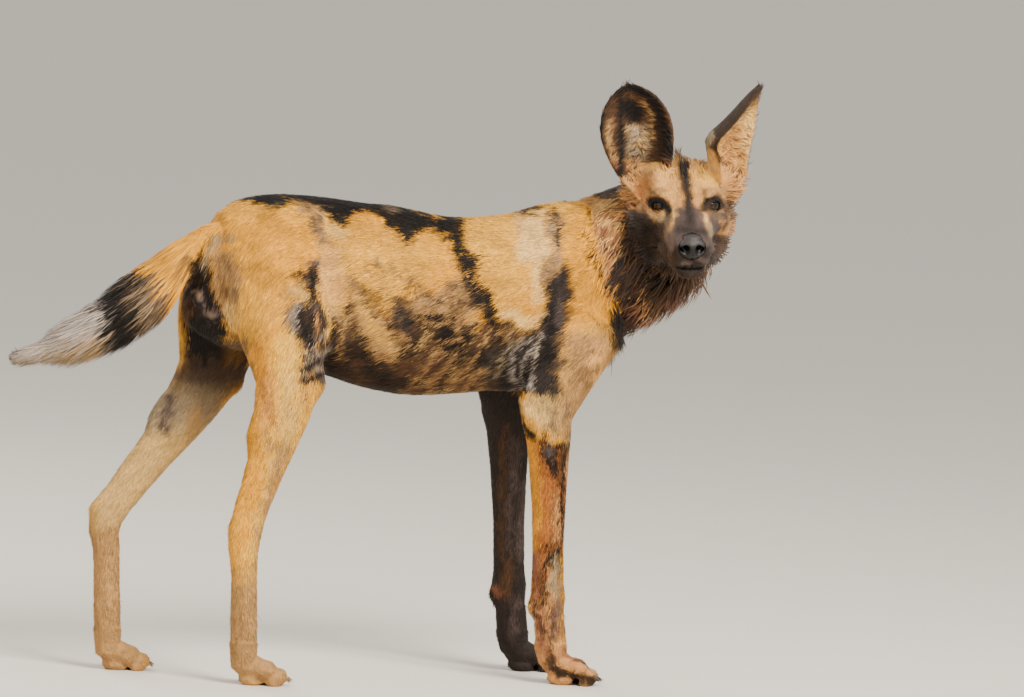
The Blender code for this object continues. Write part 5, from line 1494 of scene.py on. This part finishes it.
# The skin takes the coat's markings, painted 5% darker as painted shade under the hairs
colours = markings(points, normals, part_of) * 0.95
lids = ridge(lid_ring, 1.0, 0.35) + of_mouth * ridge(dz, 0.0, 0.0010)
colours += np.clip(lids, 0, 1)[:, None] * (BARE_SKIN - colours)
paint_corners(skin.data, colours)
skin.data.materials.clear()
skin.data.materials.append(skin_material)
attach(skin, "root")
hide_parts(*PARTS)
print("corners of bare lids and lips:", int((lids > 0.5).sum()))

# %% [markdown]
# ## Eyes, nose and claws
#
# These stay pieces of their own. An eye is a ball with a bulging cornea, and it looks at whoever
# looks at the dog. A wet eye gives a small sharp light on a nearly black ball, so its shader has
# little shine of its own under a clear coat.

# %% Eyes
EYE_RADIUS = 0.0114
IRIS, PUPIL = math.radians(32.0), math.radians(15.0)
LIMBUS = 0.06  # half width of the dark ring round the iris, in radians
CORNEA = 0.07  # how far the middle bulges, as a share of the radius
SPOKES = 64  # of light and dark in the iris

wet, tree, shader = new_material("wet eye", {
    "Roughness": 0.12, "Specular IOR Level": 0.1, "Coat Weight": 0.35, "Coat Roughness": 0.03})
paint = add_node(tree, "ShaderNodeVertexColor", {"layer_name": "coat"})
tree.links.new(paint.outputs["Color"], shader.inputs["Base Color"])
for side in SIDES:
    bpy.ops.mesh.primitive_uv_sphere_add(segments=64, ring_count=48, radius=EYE_RADIUS)
    eye = bpy.context.object
    eye.name = "eyeball_" + side
    local = coordinates(eye.data)
    angle = np.arccos(np.clip(local[:, 2] / EYE_RADIUS, -1, 1))
    bulge = 1.0 + CORNEA * smoothstep(IRIS * 1.15, 0.0, angle)
    around = np.arctan2(local[:, 1], local[:, 0])
    spoke = ((around / (2 * np.pi) + 0.5) * (SPOKES - 1)).astype(int)
    streak = 0.85 + 0.3 * np.random.default_rng(7).random(SPOKES)[spoke]
    colour = np.where((angle < PUPIL)[:, None], linear("060505"), linear("3A2312") * streak[:, None])
    colour = np.where((angle > IRIS)[:, None], linear("1E1512"), colour)
    colour = np.where((abs(angle - IRIS) < LIMBUS)[:, None], linear("120B08"), colour)
    eye.data.vertices.foreach_set("co", (local * bulge[:, None]).ravel())
    paint_corners(eye.data, colour)
    turn = Vector((0.0, 0.0, 1.0)).rotation_difference(-ahead).to_matrix().to_4x4()
    eye.data.transform(Matrix.Translation(box_middle("eye_" + side)) @ turn)
    eye.data.shade_smooth()
    eye.data.materials.append(wet)
    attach(eye, "root")
    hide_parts("eye_" + side)
    print(eye.name, "at", [round(value, 3) for value in box_middle("eye_" + side)])

# %% [markdown]
# A dog's nose is bare leather, moist and finely pebbled, so it is dark with a broken gleam. It is a
# copy of its solid, remeshed finely, so that the nostrils and the groove can be pressed into it.
# The pebbles are cells of a Voronoi pattern, about 1.1 mm wide.

# %% Nose leather
NOSTRIL = (-0.0365, 0.0112, 0.0056, 0.0074)  # height, distance from the middle, half height, half width
NOSTRIL_DEPTH, GROOVE_DEPTH = 0.0080, 0.0012
PEBBLES = 900.0  # a metre

leather, tree, shader = new_material("moist nose leather", {"Roughness": 0.42, "Specular IOR Level": 0.35})
where = add_node(tree, "ShaderNodeTexCoord")
pebbles = add_node(tree, "ShaderNodeTexVoronoi", links={"Vector": where.outputs["Object"]},
                   values={"Scale": PEBBLES})
relief = add_node(tree, "ShaderNodeBump", {"invert": True}, {"Height": pebbles.outputs["Distance"]},
                  {"Strength": 0.5, "Distance": 0.0006})
tree.links.new(relief.outputs["Normal"], shader.inputs["Normal"])
paint = add_node(tree, "ShaderNodeVertexColor", {"layer_name": "coat"})
tree.links.new(paint.outputs["Color"], shader.inputs["Base Color"])

nose = new_object("nose_leather", frame["nodes"]["nose"].data.copy())
with edit_mode(nose):
    bpy.ops.mesh.remove_doubles(threshold=WELD)
modify(nose, "REMESH", mode="VOXEL", voxel_size=0.0007)
eased = spread(coordinates(nose.data), edges_of(nose.data), 6, (0.5, -0.45))
in_nose = head_places(eased)
beside = abs(in_nose[:, 1])
comma = NOSTRIL[2] * (0.75 + 0.45 * smoothstep(NOSTRIL[1] + 0.004, NOSTRIL[1] - 0.003, beside))
from_nostril = ((beside - NOSTRIL[1]) / NOSTRIL[3]) ** 2 + ((in_nose[:, 2] - NOSTRIL[0]) / comma) ** 2
hollow = np.exp(-from_nostril ** 1.5)
hollow *= smoothstep(0.096, 0.102, in_nose[:, 0])
groove = ridge(in_nose[:, 1], 0.0, 0.0009) * smoothstep(-0.034, -0.038, in_nose[:, 2])
eased -= (NOSTRIL_DEPTH * hollow + GROOVE_DEPTH * groove)[:, None] * HEAD_AXES[:, 0]
# Painted light on the leather: its top is painted lighter as a painted reflection of the sky, and the
# nostrils and the groove are painted nearly black as painted shade in the hollows
top = smoothstep(-0.034, -0.026, in_nose[:, 2])[:, None]
tone = BARE_SKIN + top * (linear("332E2E") - BARE_SKIN)
tone *= (1 - 0.95 * np.clip(1.6 * hollow + groove, 0, 1))[:, None]
nose.data.vertices.foreach_set("co", eased.ravel())
paint_corners(nose.data, tone)
nose.data.shade_smooth()
nose.data.materials.clear()
nose.data.materials.append(leather)
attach(nose, "root")
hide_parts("nose")
print("nose", len(nose.data.polygons), "faces")

# %% [markdown]
# Claws are horn, worn blunt and dull by the ground, with streaks along them. One is bent from a
# cone, and each paw gets four copies of it.

# %% One claw
worn_horn, tree, shader = new_material("worn claw horn", {"Roughness": 0.45})
where = add_node(tree, "ShaderNodeTexCoord")
drawn_out = add_node(tree, "ShaderNodeMapping", links={"Vector": where.outputs["Object"]},
                     values={"Scale": (1.0, 6.0, 6.0)})
grain = add_node(tree, "ShaderNodeTexNoise", links={"Vector": drawn_out.outputs["Vector"]},
                 values={"Scale": 150.0, "Detail": 3.0})  # streaks of about 1 mm by 7 mm
tint = add_node(tree, "ShaderNodeValToRGB", links={"Fac": grain.outputs["Fac"]})
for element, code in zip(tint.color_ramp.elements, ("2B2420", "6E6055")):
    element.color = (*linear(code), 1)
tree.links.new(tint.outputs["Color"], shader.inputs["Base Color"])

bpy.ops.mesh.primitive_cone_add(vertices=12, radius1=0.0029, radius2=0.0005, depth=0.021,
                                rotation=(0.0, math.radians(90), 0.0))
bpy.ops.object.transform_apply(location=True, rotation=True, scale=True)
one_claw = bpy.context.object
with edit_mode(one_claw):
    bpy.ops.mesh.subdivide(number_cuts=3)
bent = coordinates(one_claw.data)
bent[:, 0] += 0.0035
bent[:, 2] -= 18.0 * np.maximum(bent[:, 0] + 0.004, 0.0) ** 2 - 0.0016
one_claw.data.vertices.foreach_set("co", bent.ravel())
print("one claw:", len(one_claw.data.polygons), "faces")

# %% Claws on each paw
TOE_ROOTS = {
    "fore_paw_right": (0.205, -0.076), "fore_paw_left": (0.222, 0.076),
    "hind_paw_right": (-0.290, -0.082), "hind_paw_left": (-0.424, 0.084),
}
PAW_SIZES = {"fore": (0.098, 0.062), "hind": (0.090, 0.056)}
TOE_TURN = math.radians(-4.0)
CLAW_HEIGHT = 0.0118

for paw, (toe_x, toe_y) in TOE_ROOTS.items():
    pair, _, side = paw.split("_")
    length, width = PAW_SIZES[pair]
    spot = (Matrix.Translation(Vector((toe_x, toe_y, 0.0)) + SHIFT)
            @ Matrix.Rotation(TOE_TURN * -SIDES[side], 4, "Z"))
    nails = []
    for lane in ((toe - 1.5) / 1.5 for toe in range(4)):
        reach = length * (0.70 if abs(lane) < 0.5 else 0.60)
        nails.append(new_object("nail", one_claw.data.copy()))
        nails[-1].data.transform(spot @ Matrix.Translation((reach - 0.003, lane * width * 0.345, CLAW_HEIGHT))
                                 @ Matrix.Rotation(math.radians(lane * 9), 4, "Z"))
    claws = joined(nails)
    claws.name = "claws_" + paw
    claws.data.shade_smooth()
    claws.data.materials.append(worn_horn)
    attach(claws, "root")
    print(claws.name, len(claws.data.polygons), "faces")
bpy.data.objects.remove(one_claw)

# %% [markdown]
# ## Floor, light and camera
#
# A pale floor, a large soft key light and the camera at the height of the dog's chest, far away
# with a long lens, and rolled a little. The floor is matt paper, which takes a soft shadow and
# gives no gleam of its own.

# %% Floor and light
WARM = (1.0, 0.95, 0.87)
LAMPS = (  # name, place, size in metres, power in watts
    ("key", (0.6, -3.4, 3.4), 2.0, 400.0),
    ("fill", (-3.0, -2.4, 1.6), 2.5, 40.0),
    ("rim", (-1.0, 3.0, 2.8), 1.8, 70.0),
)

bpy.ops.mesh.primitive_plane_add(size=160.0, location=(0.0, 0.0, 0.0))
floor = bpy.context.object
floor.name = "floor"
paper, *_ = new_material("pale matt paper", {"Base Color": (*linear("DDD6CA"), 1), "Roughness": 0.9})
floor.data.materials.append(paper)

world = bpy.data.worlds.new("studio")
bpy.context.scene.world = world
world.use_nodes = True
surroundings = world.node_tree.nodes["Background"].inputs
surroundings["Color"].default_value = (*linear("F4F2EE"), 1)
surroundings["Strength"].default_value = 0.95

for name, spot, size, power in LAMPS:
    bpy.ops.object.light_add(type="AREA", location=spot)
    lamp = bpy.context.object
    lamp.name = name
    lamp.data.size = size
    lamp.data.energy = power
    lamp.data.color = WARM
    lamp.rotation_euler = (Vector((0.1, 0.0, 0.45)) - Vector(spot)).to_track_quat("-Z", "Y").to_euler()
    print(name, "light:", power, "W")

# %% Camera
SENSOR, STEPS_ACROSS = 36.0, 1024
bpy.ops.object.camera_add()
camera = bpy.context.object
camera.matrix_world = Matrix.Translation(VIEW_TARGET - ahead * VIEW_DISTANCE) @ Matrix(
    (right, up, -ahead)).transposed().to_4x4()
camera.data.sensor_width = SENSOR
camera.data.lens = SENSOR * VIEW_DISTANCE * 1000 / MM_PER_STEP / STEPS_ACROSS
camera.data.clip_end = 300.0
bpy.context.scene.camera = camera
print("lens:", round(camera.data.lens, 1), "mm")
